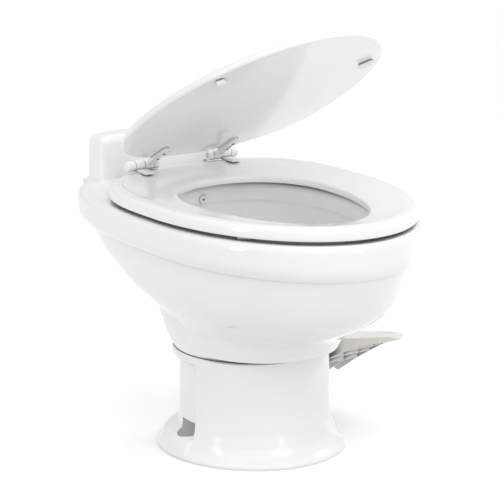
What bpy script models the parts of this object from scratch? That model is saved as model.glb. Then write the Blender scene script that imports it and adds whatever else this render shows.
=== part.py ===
"""A gravity-flush toilet for a travel trailer, built from its separate pieces.

Frame: metres, +Z up, the floor at z = 0 and the origin under the middle of the whole toilet.
The sitter faces -Y, so +X is the sitter's left, where the foot pedal is.
The flush ball and the pedal turn about X, the seat and the lid about the hinge line at the back.
The pieces are modelled round the pedestal's axis, and main() moves them to the origin at the end.
"""

import math

import bmesh
import bpy
from mathutils import Matrix, Vector

# Driving dimensions of the whole toilet
BASE_HEIGHT = 0.1432
RIM_HEIGHT = 0.343
RIM_HALF_WIDTH = 0.184
RIM_FRONT = 0.263
RIM_BACK = 0.304
WIDEST_Y = -0.0268
BAND_HEIGHT = 0.047
PEDESTAL_RADIUS = 0.109
FLOOR_HALF_WIDTH = 0.1293
FLOOR_FRONT = 0.1377
FLOOR_BACK = 0.133
GAP = 0.0003
OVERRUN = 0.02
BAND_SLOPE = 0.015
AROUND = 40
VALVE_SIDES = 28

# Bowl casting
CHINA = 0.009
BODY_HALF_WIDTH = 0.1675
BODY_FRONT = 0.2545
BODY_BACK = 0.289
FOOT_INSET = 0.002
OPENING_HALF_WIDTH = 0.118
OPENING_FRONT = 0.192
OPENING_BACK = 0.143
LIP_HEIGHT = 0.028
LIP_STEP = 0.005
THROAT_RADIUS = 0.036
THROAT_RISE = 0.022
OUTLET_FLANGE_RADIUS = 0.0605
OUTLET_FLANGE_HEIGHT = 0.010
OUTLET_Z = 0.1300
DECK_THICKNESS = 0.010

# Raised back of the bowl, which houses the vacuum breaker
HUMP_HALF_WIDTH = 0.104
HUMP_FRONT_Y = 0.214
HUMP_BACK_Y = 0.257
HUMP_TOP = 0.409
HUMP_ROUND = 0.012
HUMP_FLARE = 0.007
HUMP_WALL = 0.009
NOTCH_HALF_WIDTH = 0.046
NOTCH_DEPTH = 0.040

# Pedestal shell
SHELL = 0.0045
REAR_RADIUS = 0.100
SHROUD_ANGLE = math.radians(80)
SHROUD_BLEND = math.radians(4)
FLOOR_BOLT_SPACING = 0.152
FLOOR_BOLT_HOLE_RADIUS = 0.0055
FLOOR_BOLT_Y = 0.007
POCKET_RADIUS = 0.0195
POCKET_HEIGHT = 0.036
POCKET_FLOOR = 0.010
POCKET_INNER_X = 0.0615
POCKET_OUTER_X = 0.115
POCKET_WALL = 0.004

# Flush valve
BALL_RADIUS = 0.046
BALL_WALL = 0.0035
BALL_Z = 0.092
BALL_CAP_ANGLE = math.radians(57)
BALL_CLEARANCE = 0.0045
EAR_WIDTH = 0.006
EAR_RADIUS = 0.013
SHAFT_RADIUS = 0.005
VALVE_WALL = 0.005
VALVE_FLANGE = 0.004
VALVE_FLOOR = 0.028
DRAIN_RADIUS = 0.045
DRAIN_RISE = 0.002
BALL_SEAL_RADIUS = 0.0355
BALL_SEAL_OUTER = 0.048
BALL_SEAL_HEIGHT = 0.0042
OUTLET_SEAL_INNER = 0.0375
BOSS_RADIUS = 0.0105
BUSH_WALL = 0.002
BUSH_LENGTH = 0.008
RUNNING_GAP = 0.0004
GASKET_HEIGHT = 0.012
GASKET_OUTER = 0.0568
CLAMP_THICKNESS = 0.0035
CLAMP_LIP = 0.003
CLAMP_EAR_WIDTH = 0.010
CLAMP_EAR_LENGTH = 0.011
CLAMP_BOLT_RADIUS = 0.0024
CLAMP_NUT_RADIUS = 0.0045
CLAMP_NUT_HEIGHT = 0.003

# Gear pair between the pedal and the ball
GEAR_MODULE = 0.00125
PINION_TEETH = 16
GEAR_TEETH = 64
GEAR_WIDTH = 0.008
GEAR_X = 0.062
GEAR_SECTOR = math.radians(78)
GEAR_HUB_RADIUS = 0.012
TOOTH_RISE_SHARE = 0.95
TOOTH_DROP_SHARE = 1.2
BACKLASH_SHARE = 0.10
GEAR_CENTRES = GEAR_MODULE * (PINION_TEETH + GEAR_TEETH) / 2

# Foot pedal
PIVOT_Y = GEAR_CENTRES
PIVOT_Z = BALL_Z
PEDAL_INNER_X = 0.1135
PEDAL_WIDTH = 0.0785
PEDAL_LENGTH = 0.230
PEDAL_BACK = 0.020
PEDAL_SKIN = 0.003
PEDAL_RIB = 0.0022
PEDAL_ROWS = 3
PEDAL_BAYS = 6
PEDAL_HUB_RADIUS = 0.0125
PEDAL_SHAFT_RADIUS = 0.0055
PEDAL_SHAFT_INNER_X = 0.0345
PEDAL_ROUND = 0.0012
DISH_DEPTH = 0.0022
DISH_MARGIN = 0.007
CLIP_THICKNESS = 0.0016
CLIP_RADIUS = 0.010

# Return spring, round the pedal shaft
SPRING_WIRE_RADIUS = 0.001
SPRING_TURNS = 2
SPRING_RADIUS = 0.0088
SPRING_PITCH = 0.0024
SPRING_X = 0.0555
SPRING_LEG = 0.009
SPRING_POINTS = 12

# Water valve and vacuum breaker
VALVE_X = 0.049
VALVE_WIDTH = 0.016
VALVE_DEPTH = 0.030
VALVE_HEIGHT = 0.032
VALVE_FRONT_Y = 0.0425
VALVE_LOW_Z = 0.040
VALVE_ROUND = 0.003
PLUNGER_RADIUS = 0.0030
PLUNGER_LENGTH = 0.012
PLUNGER_TRAVEL = 0.0015
PLUNGER_HEAD_RADIUS = 0.0044
PLUNGER_HEAD = 0.002
CAM_RADIUS = 0.0075
CAM_REACH = 0.0079
CAM_WIDTH = 0.008
PEDAL_PRESS = math.radians(20)
INLET_RADIUS = 0.0103
INLET_BORE = 0.0065
INLET_LENGTH = 0.038
INLET_NUT_RADIUS = 0.015
INLET_NUT_WIDTH = 0.008
HOSE_RADIUS = 0.0055
BREAKER_RADIUS = 0.0135
BREAKER_WALL = 0.002
BREAKER_BOTTOM = 0.316
BREAKER_TOP = 0.384
BREAKER_CAP_RADIUS = 0.0165
BREAKER_CAP_HEIGHT = 0.010
BREAKER_Y = HUMP_FRONT_Y + HUMP_WALL + BREAKER_CAP_RADIUS + 2 * RUNNING_GAP
FLOAT_RADIUS = 0.0105
FLOAT_HEIGHT = 0.004
FLOAT_TRAVEL = 0.004
NOZZLE_RADIUS = 0.0065
NOZZLE_BORE = 0.0045
NOZZLE_Z = 0.3245

# Seat
SEAT_HALF_WIDTH = 0.179
SEAT_FRONT = 0.258
SEAT_BACK = 0.205
SEAT_LIFT = 0.0052
SEAT_THICKNESS = 0.0172
SEAT_ROUND = 0.008
SEAT_TURN = 0.0025
SEAT_RIDGE = 0.018
SEAT_DISH = 0.0075
SEAT_OPENING_HALF_WIDTH = 0.109
SEAT_OPENING_FRONT = 0.194
SEAT_OPENING_BACK = 0.118
BUMPER_LENGTH = 0.020
BUMPER_WIDTH = 0.012
BUMPER_ROUND = 0.0014

# Lid
LID_TILT = math.radians(31.3)
LID_HALF_WIDTH = 0.167
LID_FRONT = 0.2332
LID_BACK = 0.1823
LID_LIFT = 0.002
LID_THICKNESS = 0.012
LID_ROUND = 0.005
LID_CROWN = 0.0022
LID_BUMPER_DISTANCE = 0.315
LID_BUMPER_X = 0.119
LID_BUMPER_HEIGHT = 0.0065
LID_BUMPER_TURN = math.radians(38)

# Hinges
HINGE_Y = 0.168
HINGE_Z = 0.3735
BARREL_RADIUS = 0.0073
PIN_RADIUS = 0.0032
POST_X = 0.0433
POST_WIDTH = 0.0075
ARM_WIDTH = 0.0145
LEAF_WIDTH = 0.0140
CAP_LENGTH = 0.0130
KNUCKLE_GAP = 0.0006
ARM_LENGTH = 0.060
ARM_THICKNESS = 0.0040
ARM_TAPER_SHARE = 0.78
LEAF_THICKNESS = 0.0035
LEAF_LENGTH = 0.030
POST_FOOT_LENGTH = 0.020
POST_FOOT_Y = HUMP_FRONT_Y - HUMP_FLARE - RUNNING_GAP - POST_FOOT_LENGTH / 2
POST_FOOT_THICKNESS = 0.005
BOLT_X = 0.070
BOLT_RADIUS = 0.0038
BOLT_LENGTH = 0.042
BOLT_HEAD_RADIUS = 0.0065
BOLT_HEAD_HEIGHT = 0.003
BOLT_HOLE_RADIUS = 0.0046
WASHER_RADIUS = 0.010
WASHER_THICKNESS = 0.002
NUT_RADIUS = 0.0075
NUT_HEIGHT = 0.007
WING_SPAN = 0.013
WING_THICKNESS = 0.0025
SCREW_RADIUS = 0.0034
SCREW_HEAD = 0.0018
SCREW_PLACES_SHARES = (0.50, 0.80)

WHITE_CHINA = ((0.86, 0.86, 0.84, 1), 0.08, 0.0)
WHITE_ENAMEL = ((0.87, 0.87, 0.85, 1), 0.16, 0.0)
WHITE_PLASTIC = ((0.83, 0.83, 0.81, 1), 0.30, 0.0)
WARM_PLASTIC = ((0.79, 0.76, 0.72, 1), 0.38, 0.0)
GREY_PLASTIC = ((0.42, 0.43, 0.44, 1), 0.45, 0.0)
BLACK_PLASTIC = ((0.05, 0.05, 0.055, 1), 0.45, 0.0)
RUBBER = ((0.06, 0.06, 0.06, 1), 0.75, 0.0)
STEEL = ((0.62, 0.62, 0.60, 1), 0.28, 1.0)
BRASS = ((0.72, 0.55, 0.30, 1), 0.30, 1.0)
CLEAR_HOSE = ((0.70, 0.72, 0.72, 1), 0.35, 0.0)

PARTS = "rv_toilet"
CUTTERS = "cutters"


def clear_scene():
    for obj in list(bpy.data.objects):
        bpy.data.objects.remove(obj, do_unlink=True)
    for name in (PARTS, CUTTERS):
        collection = bpy.data.collections.new(name)
        bpy.context.scene.collection.children.link(collection)
    bpy.data.collections[CUTTERS].hide_render = True


def material(name, look):
    color, roughness, metallic = look
    made = bpy.data.materials.new(name)
    made.use_nodes = True
    shader = made.node_tree.nodes["Principled BSDF"]
    shader.inputs["Base Color"].default_value = color
    shader.inputs["Roughness"].default_value = roughness
    shader.inputs["Metallic"].default_value = metallic
    return made


def link(obj, collection=PARTS):
    for holder in list(obj.users_collection):
        holder.objects.unlink(obj)
    bpy.data.collections[collection].objects.link(obj)
    return obj


def mesh_object(name, mesh, look=None, collection=PARTS):
    obj = link(bpy.data.objects.new(name, mesh), collection)
    if collection == CUTTERS:
        obj.hide_render = True
        obj.display_type = "WIRE"
    if look:
        mesh.materials.append(material(name, look))
    return obj


def from_bmesh(name, shape, look=None, collection=PARTS):
    bmesh.ops.recalc_face_normals(shape, faces=shape.faces)
    mesh = bpy.data.meshes.new(name)
    shape.to_mesh(mesh)
    shape.free()
    return mesh_object(name, mesh, look, collection)


def shade(obj, angle=math.radians(35)):
    obj.data.shade_smooth()
    obj.data.set_sharp_from_angle(angle=angle)
    return obj


def box(name, low, high, look=None, collection=PARTS, round_by=0, segments=1):
    """A box between two corners, with its edges rounded by a bevel."""
    low, high = Vector(low), Vector(high)
    shape = bmesh.new()
    bmesh.ops.create_cube(shape, size=1)
    size = high - low
    bmesh.ops.scale(shape, vec=size, verts=shape.verts)
    bmesh.ops.translate(shape, vec=(low + high) / 2, verts=shape.verts)
    if round_by:
        bmesh.ops.bevel(shape, geom=list(shape.edges), offset=round_by, segments=segments,
                        profile=0.5, affect="EDGES", clamp_overlap=True)
    return from_bmesh(name, shape, look, collection)


def cylinder(name, radius, start, end, look=None, collection=PARTS, segments=20, end_radius=None):
    """A cylinder or cone from one point to another."""
    start, end = Vector(start), Vector(end)
    shape = bmesh.new()
    bmesh.ops.create_cone(shape, cap_ends=True, segments=segments, radius1=radius,
                          radius2=radius if end_radius is None else end_radius,
                          depth=(end - start).length)
    turn = Vector((0, 0, 1)).rotation_difference(end - start).to_matrix().to_4x4()
    bmesh.ops.transform(shape, matrix=Matrix.Translation((start + end) / 2) @ turn, verts=shape.verts)
    return from_bmesh(name, shape, look, collection)


def turned(name, profile, place=(0, 0, 0), look=None, collection=PARTS, segments=24, along_x=False):
    """A turned shape: a closed profile of (radius, height) points with a Screw modifier."""
    shape = bmesh.new()
    points = [shape.verts.new((radius, 0, height)) for radius, height in profile]
    for first, second in zip(points, points[1:] + points[:1]):
        shape.edges.new((first, second))
    mesh = bpy.data.meshes.new(name)
    shape.to_mesh(mesh)
    shape.free()
    obj = mesh_object(name, mesh, None, collection)
    screw = obj.modifiers.new("turn", "SCREW")
    screw.steps = segments
    screw.render_steps = segments
    screw.use_merge_vertices = True
    screw.merge_threshold = 0.00001
    solid = evaluated_copy(obj)
    if along_x:
        solid.transform(Matrix.Rotation(math.radians(90), 4, "Y"))
    solid.transform(Matrix.Translation(place))
    bpy.data.objects.remove(obj, do_unlink=True)
    shape = bmesh.new()
    shape.from_mesh(solid)
    bmesh.ops.remove_doubles(shape, verts=shape.verts, dist=0.00001)
    return from_bmesh(name, shape, look, collection)


def evaluated_copy(obj):
    graph = bpy.context.evaluated_depsgraph_get()
    graph.update()
    return bpy.data.meshes.new_from_object(obj.evaluated_get(graph))


def loft(name, rings, look=None, collection=PARTS, loop=False):
    """Skins rings of points. A loop closes from its last ring to its first, else its ends are capped."""
    shape = bmesh.new()
    rows = [[shape.verts.new(point) for point in ring] for ring in rings]
    pairs = list(zip(rows, rows[1:] + rows[:1])) if loop else list(zip(rows, rows[1:]))
    for lower, upper in pairs:
        for i in range(len(lower)):
            j = (i + 1) % len(lower)
            shape.faces.new((lower[i], lower[j], upper[j], upper[i]))
    if not loop:
        shape.faces.new(rows[0])
        shape.faces.new(rows[-1])
    return from_bmesh(name, shape, look, collection)


def prism(name, outline, low, high, axis, look=None, collection=PARTS):
    """A flat outline pushed along one axis. Its points are in the order of the other two axes."""
    def place(point, along):
        first, second = point
        return {"X": (along, first, second), "Y": (first, along, second), "Z": (first, second, along)}[axis]
    rings = [[place(point, along) for point in outline] for along in (low, high)]
    return loft(name, rings, look, collection)


def boolean(obj, tool, operation="DIFFERENCE"):
    modifier = obj.modifiers.new(operation.lower(), "BOOLEAN")
    modifier.operation = operation
    modifier.solver = "EXACT"
    modifier.object = tool
    return obj


def apply_all(obj):
    """Makes an object's modifiers real."""
    mesh = evaluated_copy(obj)
    obj.modifiers.clear()
    obj.data = mesh
    return obj


def join(obj, *tools):
    """Joins shapes into one body and drops the shapes that were joined."""
    for tool in tools:
        boolean(obj, tool, "UNION")
    apply_all(obj)
    for tool in tools:
        bpy.data.objects.remove(tool, do_unlink=True)
    return obj


def cut(obj, *tools):
    """Cuts shapes out of a body and drops the cutters."""
    for tool in tools:
        boolean(obj, tool)
    apply_all(obj)
    for tool in tools:
        bpy.data.objects.remove(tool, do_unlink=True)
    return obj


def egg_reach(angle, half_width, front, back, front_power=2.0, back_power=2.0):
    """How far an egg-shaped outline lies from its centre at an angle counted from +X towards +Y."""
    c, s = math.cos(angle), math.sin(angle)
    power = front_power if s < 0 else back_power
    reach = front if s < 0 else back
    return (abs(c / half_width) ** power + abs(s / reach) ** power) ** (-1 / power)


def circle_reach(angle, radius, offset):
    """The same for a circle whose centre lies at +Y of the point that angles are counted at."""
    s, c = math.sin(angle), math.cos(angle)
    return offset * s + math.sqrt(radius ** 2 - (offset * c) ** 2)


def ring(reach, height, centre_y=WIDEST_Y, count=AROUND, slope=0):
    """Points round an outline that a reach function gives; a slope lifts the back and drops the front."""
    points = []
    for i in range(count):
        angle = 2 * math.pi * i / count
        far = reach(angle)
        y = far * math.sin(angle)
        points.append((far * math.cos(angle), centre_y + y, height + slope * y))
    return points


def blend(low, high, share):
    return low + (high - low) * share


def smooth(value):
    value = min(max(value, 0), 1)
    return value * value * (3 - 2 * value)


# Each row: height share from foot to band, then the shares of the body's half width, front
# and back reached there, and how square its back is.
BODY_SHARES = (
    (0.000, 0.640, 0.430, 0.430, 2.0),
    (0.060, 0.628, 0.440, 0.440, 2.0),
    (0.130, 0.645, 0.475, 0.452, 2.0),
    (0.210, 0.660, 0.525, 0.466, 2.0),
    (0.300, 0.706, 0.622, 0.500, 2.1),
    (0.390, 0.777, 0.728, 0.569, 2.2),
    (0.490, 0.860, 0.818, 0.651, 2.3),
    (0.590, 0.928, 0.882, 0.751, 2.4),
    (0.700, 0.966, 0.922, 0.848, 2.5),
    (0.820, 0.988, 0.955, 0.940, 2.7),
    (1.000, 1.000, 1.000, 1.000, 3.0),
)
# The upright fairing behind the bowl's foot: height share, lean share of its radius
FAIRING_SHARES = ((0.000, 0.000), (0.060, 0.110), (0.130, 0.200), (0.210, 0.275), (0.300, 0.365),
                  (0.390, 0.455), (0.490, 0.550), (0.590, 0.605))
# The band's rounded edge: height share of the band, share of the overhang that it stands in
BAND_SHARES = ((0.030, 0.620), (0.110, 0.330), (0.300, 0.080), (0.600, 0.000),
               (0.850, 0.060), (0.950, 0.280), (1.000, 0.700))
# The basin: height share from throat to lip, share of the way from throat to opening
BASIN_SHARES = ((1.000, 1.020), (0.820, 0.985), (0.640, 0.880), (0.480, 0.710),
                (0.330, 0.490), (0.200, 0.270), (0.090, 0.090), (0.000, 0.000))
# Which rows of the body and the basin the hidden sides of their walls follow
INSIDE_ROWS = (9, 7, 6, 5, 3, 1, 0)
UNDER_ROWS = (6, 5, 4, 3, 2)


def table_value(table, share, column):
    """Reads a column of a table of shares between its rows."""
    for low, high in zip(table, table[1:]):
        if share <= high[0]:
            part = (share - low[0]) / (high[0] - low[0])
            return blend(low[column], high[column], max(part, 0))
    return table[-1][column]


def body_reach(share):
    """The outline of the bowl's body at a height share: an egg, or the fairing where that lies further out."""
    half_width = BODY_HALF_WIDTH * table_value(BODY_SHARES, share, 1)
    front = BODY_FRONT * table_value(BODY_SHARES, share, 2)
    back = BODY_BACK * table_value(BODY_SHARES, share, 3)
    power = table_value(BODY_SHARES, share, 4)
    foot = PEDESTAL_RADIUS - FOOT_INSET
    lean = foot * table_value(FAIRING_SHARES, share, 1)
    fairing = share <= FAIRING_SHARES[-1][0]

    def reach(angle):
        if share == 0:
            return circle_reach(angle, foot, -WIDEST_Y)
        egg = egg_reach(angle, half_width, front, back, 2.0, power)
        return max(egg, circle_reach(angle, foot, lean - WIDEST_Y)) if fairing else egg
    return reach


def rim_reach(inset=0):
    """The rim's outer outline, drawn in by an inset."""
    def reach(angle):
        return egg_reach(angle, RIM_HALF_WIDTH, RIM_FRONT, RIM_BACK, 2.0, 3.0) - inset
    return reach


def between(outer, inner, share):
    """An outline that stands in from one outline by a share of the way to another."""
    return lambda angle: blend(outer(angle), inner(angle), share)


def basin_reach(share, wall=0):
    """The basin's outline, from the round throat to the egg-shaped opening."""
    def reach(angle):
        throat = circle_reach(angle, THROAT_RADIUS, -WIDEST_Y)
        mouth = egg_reach(angle, OPENING_HALF_WIDTH, OPENING_FRONT, OPENING_BACK, 2.0, 2.3)
        return blend(throat, mouth, share) + wall
    return reach


def lessened(reach, amount):
    return lambda angle: reach(angle) - amount


def bowl():
    """The china bowl: outer wall, rim and basin in one casting, hollow between its walls."""
    foot_z = BASE_HEIGHT + GAP
    band_z = RIM_HEIGHT - BAND_HEIGHT
    roof_z = RIM_HEIGHT - DECK_THICKNESS
    lip_z = RIM_HEIGHT - LIP_HEIGHT
    throat_z = OUTLET_Z + THROAT_RISE
    rings = [ring(body_reach(row[0]), blend(foot_z, band_z, row[0]), slope=BAND_SLOPE * row[0]) for row in BODY_SHARES]
    for height, share in BAND_SHARES:
        rings.append(ring(between(rim_reach(), body_reach(1), share), blend(band_z, RIM_HEIGHT, height),
                          slope=BAND_SLOPE * (1 - height)))
    rings.append(ring(basin_reach(1, CHINA), RIM_HEIGHT))
    rings.append(ring(basin_reach(1, CHINA / 4), RIM_HEIGHT - CHINA / 3))
    rings.append(ring(basin_reach(1), RIM_HEIGHT - CHINA))
    rings.append(ring(basin_reach(1), lip_z + LIP_STEP))
    rings.append(ring(basin_reach(1, LIP_STEP / 3), lip_z))
    for height, share in BASIN_SHARES:
        rings.append(ring(basin_reach(share), blend(throat_z, lip_z - LIP_STEP, height)))
    rings.append(ring(basin_reach(0), OUTLET_Z))
    flange = OUTLET_FLANGE_RADIUS - THROAT_RADIUS
    rings.append(ring(basin_reach(0, flange), OUTLET_Z))
    rings.append(ring(basin_reach(0, flange), OUTLET_Z + OUTLET_FLANGE_HEIGHT))
    rings.append(ring(basin_reach(0, CHINA), OUTLET_Z + 2 * OUTLET_FLANGE_HEIGHT))
    for row in UNDER_ROWS:
        height, share = BASIN_SHARES[row]
        rings.append(ring(basin_reach(share, CHINA), blend(throat_z, lip_z - LIP_STEP, height) - CHINA / 2))
    rings.append(ring(basin_reach(1, CHINA + LIP_STEP), roof_z - CHINA))
    rings.append(ring(basin_reach(1, 2 * CHINA), roof_z))
    inner_band = between(rim_reach(CHINA), body_reach(1), BAND_SHARES[-1][1])
    rings.append(ring(inner_band, roof_z))
    rings.append(ring(lessened(body_reach(1), CHINA), band_z + CHINA, slope=BAND_SLOPE))
    for row in INSIDE_ROWS:
        share = BODY_SHARES[row][0]
        rings.append(ring(lessened(body_reach(share), CHINA), blend(foot_z, band_z, share), slope=BAND_SLOPE * share))
    body = loft("bowl", rings, WHITE_CHINA, loop=True)
    join(body, hump(roof_z + GAP))

    inside_x = HUMP_HALF_WIDTH - 2 * HUMP_WALL
    inside_y = HUMP_FRONT_Y + HUMP_WALL
    cavity = box("cavity", (-inside_x, inside_y, RIM_HEIGHT + HUMP_WALL / 3),
                 (inside_x, RIM_BACK + OVERRUN, HUMP_TOP - HUMP_WALL), collection=CUTTERS)
    notch = box("notch", (-NOTCH_HALF_WIDTH, inside_y, RIM_HEIGHT - NOTCH_DEPTH),
                (NOTCH_HALF_WIDTH, RIM_BACK + OVERRUN, HUMP_TOP - HUMP_WALL - HUMP_WALL), collection=CUTTERS)
    nozzle_hole = cylinder("nozzle_hole", NOZZLE_RADIUS + RUNNING_GAP,
                           (0, OPENING_BACK + WIDEST_Y - OVERRUN, NOZZLE_Z),
                           (0, HUMP_FRONT_Y + OVERRUN, NOZZLE_Z), collection=CUTTERS, segments=16)
    bolt_holes = [cylinder("bolt_hole", BOLT_HOLE_RADIUS, (side * BOLT_X, POST_FOOT_Y, roof_z - OVERRUN),
                           (side * BOLT_X, POST_FOOT_Y, RIM_HEIGHT + OVERRUN), collection=CUTTERS, segments=16)
                  for side in (-1, 1)]
    cut(body, cavity, notch, nozzle_hole, *bolt_holes)
    return shade(body)


# The raised back, from its foot: height share, share of its rounding stood in, share of its flare stood out
HUMP_SHARES = ((0.00, 0.00, 1.00), (0.13, 0.00, 1.00), (0.19, 0.00, 0.35), (0.27, 0.00, 0.00), (0.78, 0.10, 0.00),
               (0.91, 0.35, 0.00), (0.98, 0.75, 0.00), (1.00, 1.15, 0.00))
HUMP_POINTS = 28
HUMP_POWER = 9.0


def hump(low):
    """The raised back as rounded rectangles that flare into the deck and close in at the top."""
    middle_y = (HUMP_FRONT_Y + HUMP_BACK_Y) / 2
    half_depth = (HUMP_BACK_Y - HUMP_FRONT_Y) / 2
    rings = []
    for height, rounding, flare in HUMP_SHARES:
        out = HUMP_FLARE * flare - HUMP_ROUND * rounding
        reach = outline_reach(HUMP_HALF_WIDTH + out, half_depth + out, half_depth + out, 0, HUMP_POWER, HUMP_POWER)
        rings.append(ring(reach, blend(low, HUMP_TOP, height), middle_y, HUMP_POINTS))
    return loft("hump", rings, collection=CUTTERS)


# Each row: height share of the base, then the shares of the way from the round wall to the floor outline
# that the front and the back stand at. Below zero the back stands in behind the shroud's edge.
SHELL_SHARES = (
    (0.000, 1.000, 1.000), (0.030, 0.970, 0.980), (0.080, 0.680, 0.860), (0.130, 0.470, 0.680),
    (0.170, 0.340, 0.450), (0.195, 0.290, 0.100), (0.215, 0.250, -0.360), (0.300, 0.100, -0.440),
    (0.470, 0.020, -0.460), (0.905, 0.000, -0.460), (0.925, 0.000, -0.030), (1.000, 0.000, 0.000),
)
SHELL_INSIDE_ROWS = (11, 9, 6, 3, 0)
SHELL_POINTS = 56


def shell_reach(front, back, wall=0):
    """The pedestal's outline: a full round front, and a back that stands in behind the shroud's edge."""
    def reach(angle):
        from_front = abs((angle - 1.5 * math.pi + math.pi) % (2 * math.pi) - math.pi)
        behind = smooth((from_front - SHROUD_ANGLE) / SHROUD_BLEND + 0.5)
        floor = egg_reach(angle, FLOOR_HALF_WIDTH, FLOOR_FRONT, FLOOR_BACK)
        return blend(PEDESTAL_RADIUS, floor, blend(front, back, behind)) - wall
    return reach


def stadium(name, low_x, high_x, radius, low_z, high_z):
    """An upright block with round ends, its middle line along X."""
    points = []
    steps = 8
    for i in range(steps + 1):
        angle = math.pi * i / steps - math.pi / 2
        points.append((high_x - radius + radius * math.cos(angle), FLOOR_BOLT_Y + radius * math.sin(angle)))
    for i in range(steps + 1):
        angle = math.pi * i / steps + math.pi / 2
        points.append((low_x + radius + radius * math.cos(angle), FLOOR_BOLT_Y + radius * math.sin(angle)))
    return prism(name, points, low_z, high_z, "Z", collection=CUTTERS)


def base_shell():
    """The pedestal: a thin moulded shell, open at its top and bottom, with a pocket for each floor bolt."""
    outer = [ring(shell_reach(front, back), BASE_HEIGHT * height, 0, SHELL_POINTS)
             for height, front, back in SHELL_SHARES]
    inner = []
    for row in SHELL_INSIDE_ROWS:
        height, front, back = SHELL_SHARES[row]
        back = SHELL_SHARES[9][2] if row == 11 else back
        inner.append(ring(shell_reach(front, back, SHELL), BASE_HEIGHT * height, 0, SHELL_POINTS))
    shell = loft("base_shell", outer + inner, WHITE_PLASTIC, loop=True)
    blocks, pockets = [], []
    for side in (-1, 1):
        ends = sorted((side * POCKET_INNER_X, side * POCKET_OUTER_X))
        wall = POCKET_WALL
        block = stadium("block", ends[0] - wall, ends[1] + wall, POCKET_RADIUS + wall, POCKET_FLOOR - wall,
                        POCKET_FLOOR + POCKET_HEIGHT + wall)
        form = loft("form", outer, collection=CUTTERS)
        boolean(block, form, "INTERSECT")
        apply_all(block)
        bpy.data.objects.remove(form, do_unlink=True)
        blocks.append(block)
        pockets.append(stadium("pocket", ends[0], ends[1], POCKET_RADIUS, POCKET_FLOOR, POCKET_FLOOR + POCKET_HEIGHT))
        place = (side * FLOOR_BOLT_SPACING / 2, FLOOR_BOLT_Y)
        pockets.append(cylinder("floor_hole", FLOOR_BOLT_HOLE_RADIUS, (*place, -OVERRUN),
                                (*place, POCKET_FLOOR + OVERRUN / 2), collection=CUTTERS, segments=16))
    join(shell, *blocks)
    inlet_z = VALVE_LOW_Z + VALVE_HEIGHT / 2
    shaft_hole = cylinder("shaft_hole", PEDAL_SHAFT_RADIUS + BUSH_WALL + 2 * GAP,
                          (GEAR_X + GEAR_WIDTH, PIVOT_Y, PIVOT_Z),
                          (FLOOR_HALF_WIDTH + OVERRUN, PIVOT_Y, PIVOT_Z), collection=CUTTERS, segments=20)
    inlet_hole = cylinder("inlet_hole", INLET_RADIUS + GAP, (VALVE_X, VALVE_FRONT_Y + VALVE_DEPTH, inlet_z),
                          (VALVE_X, FLOOR_BACK + OVERRUN, inlet_z), collection=CUTTERS, segments=20)
    cut(shell, *pockets, shaft_hole, inlet_hole)
    return shade(shell)


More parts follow.
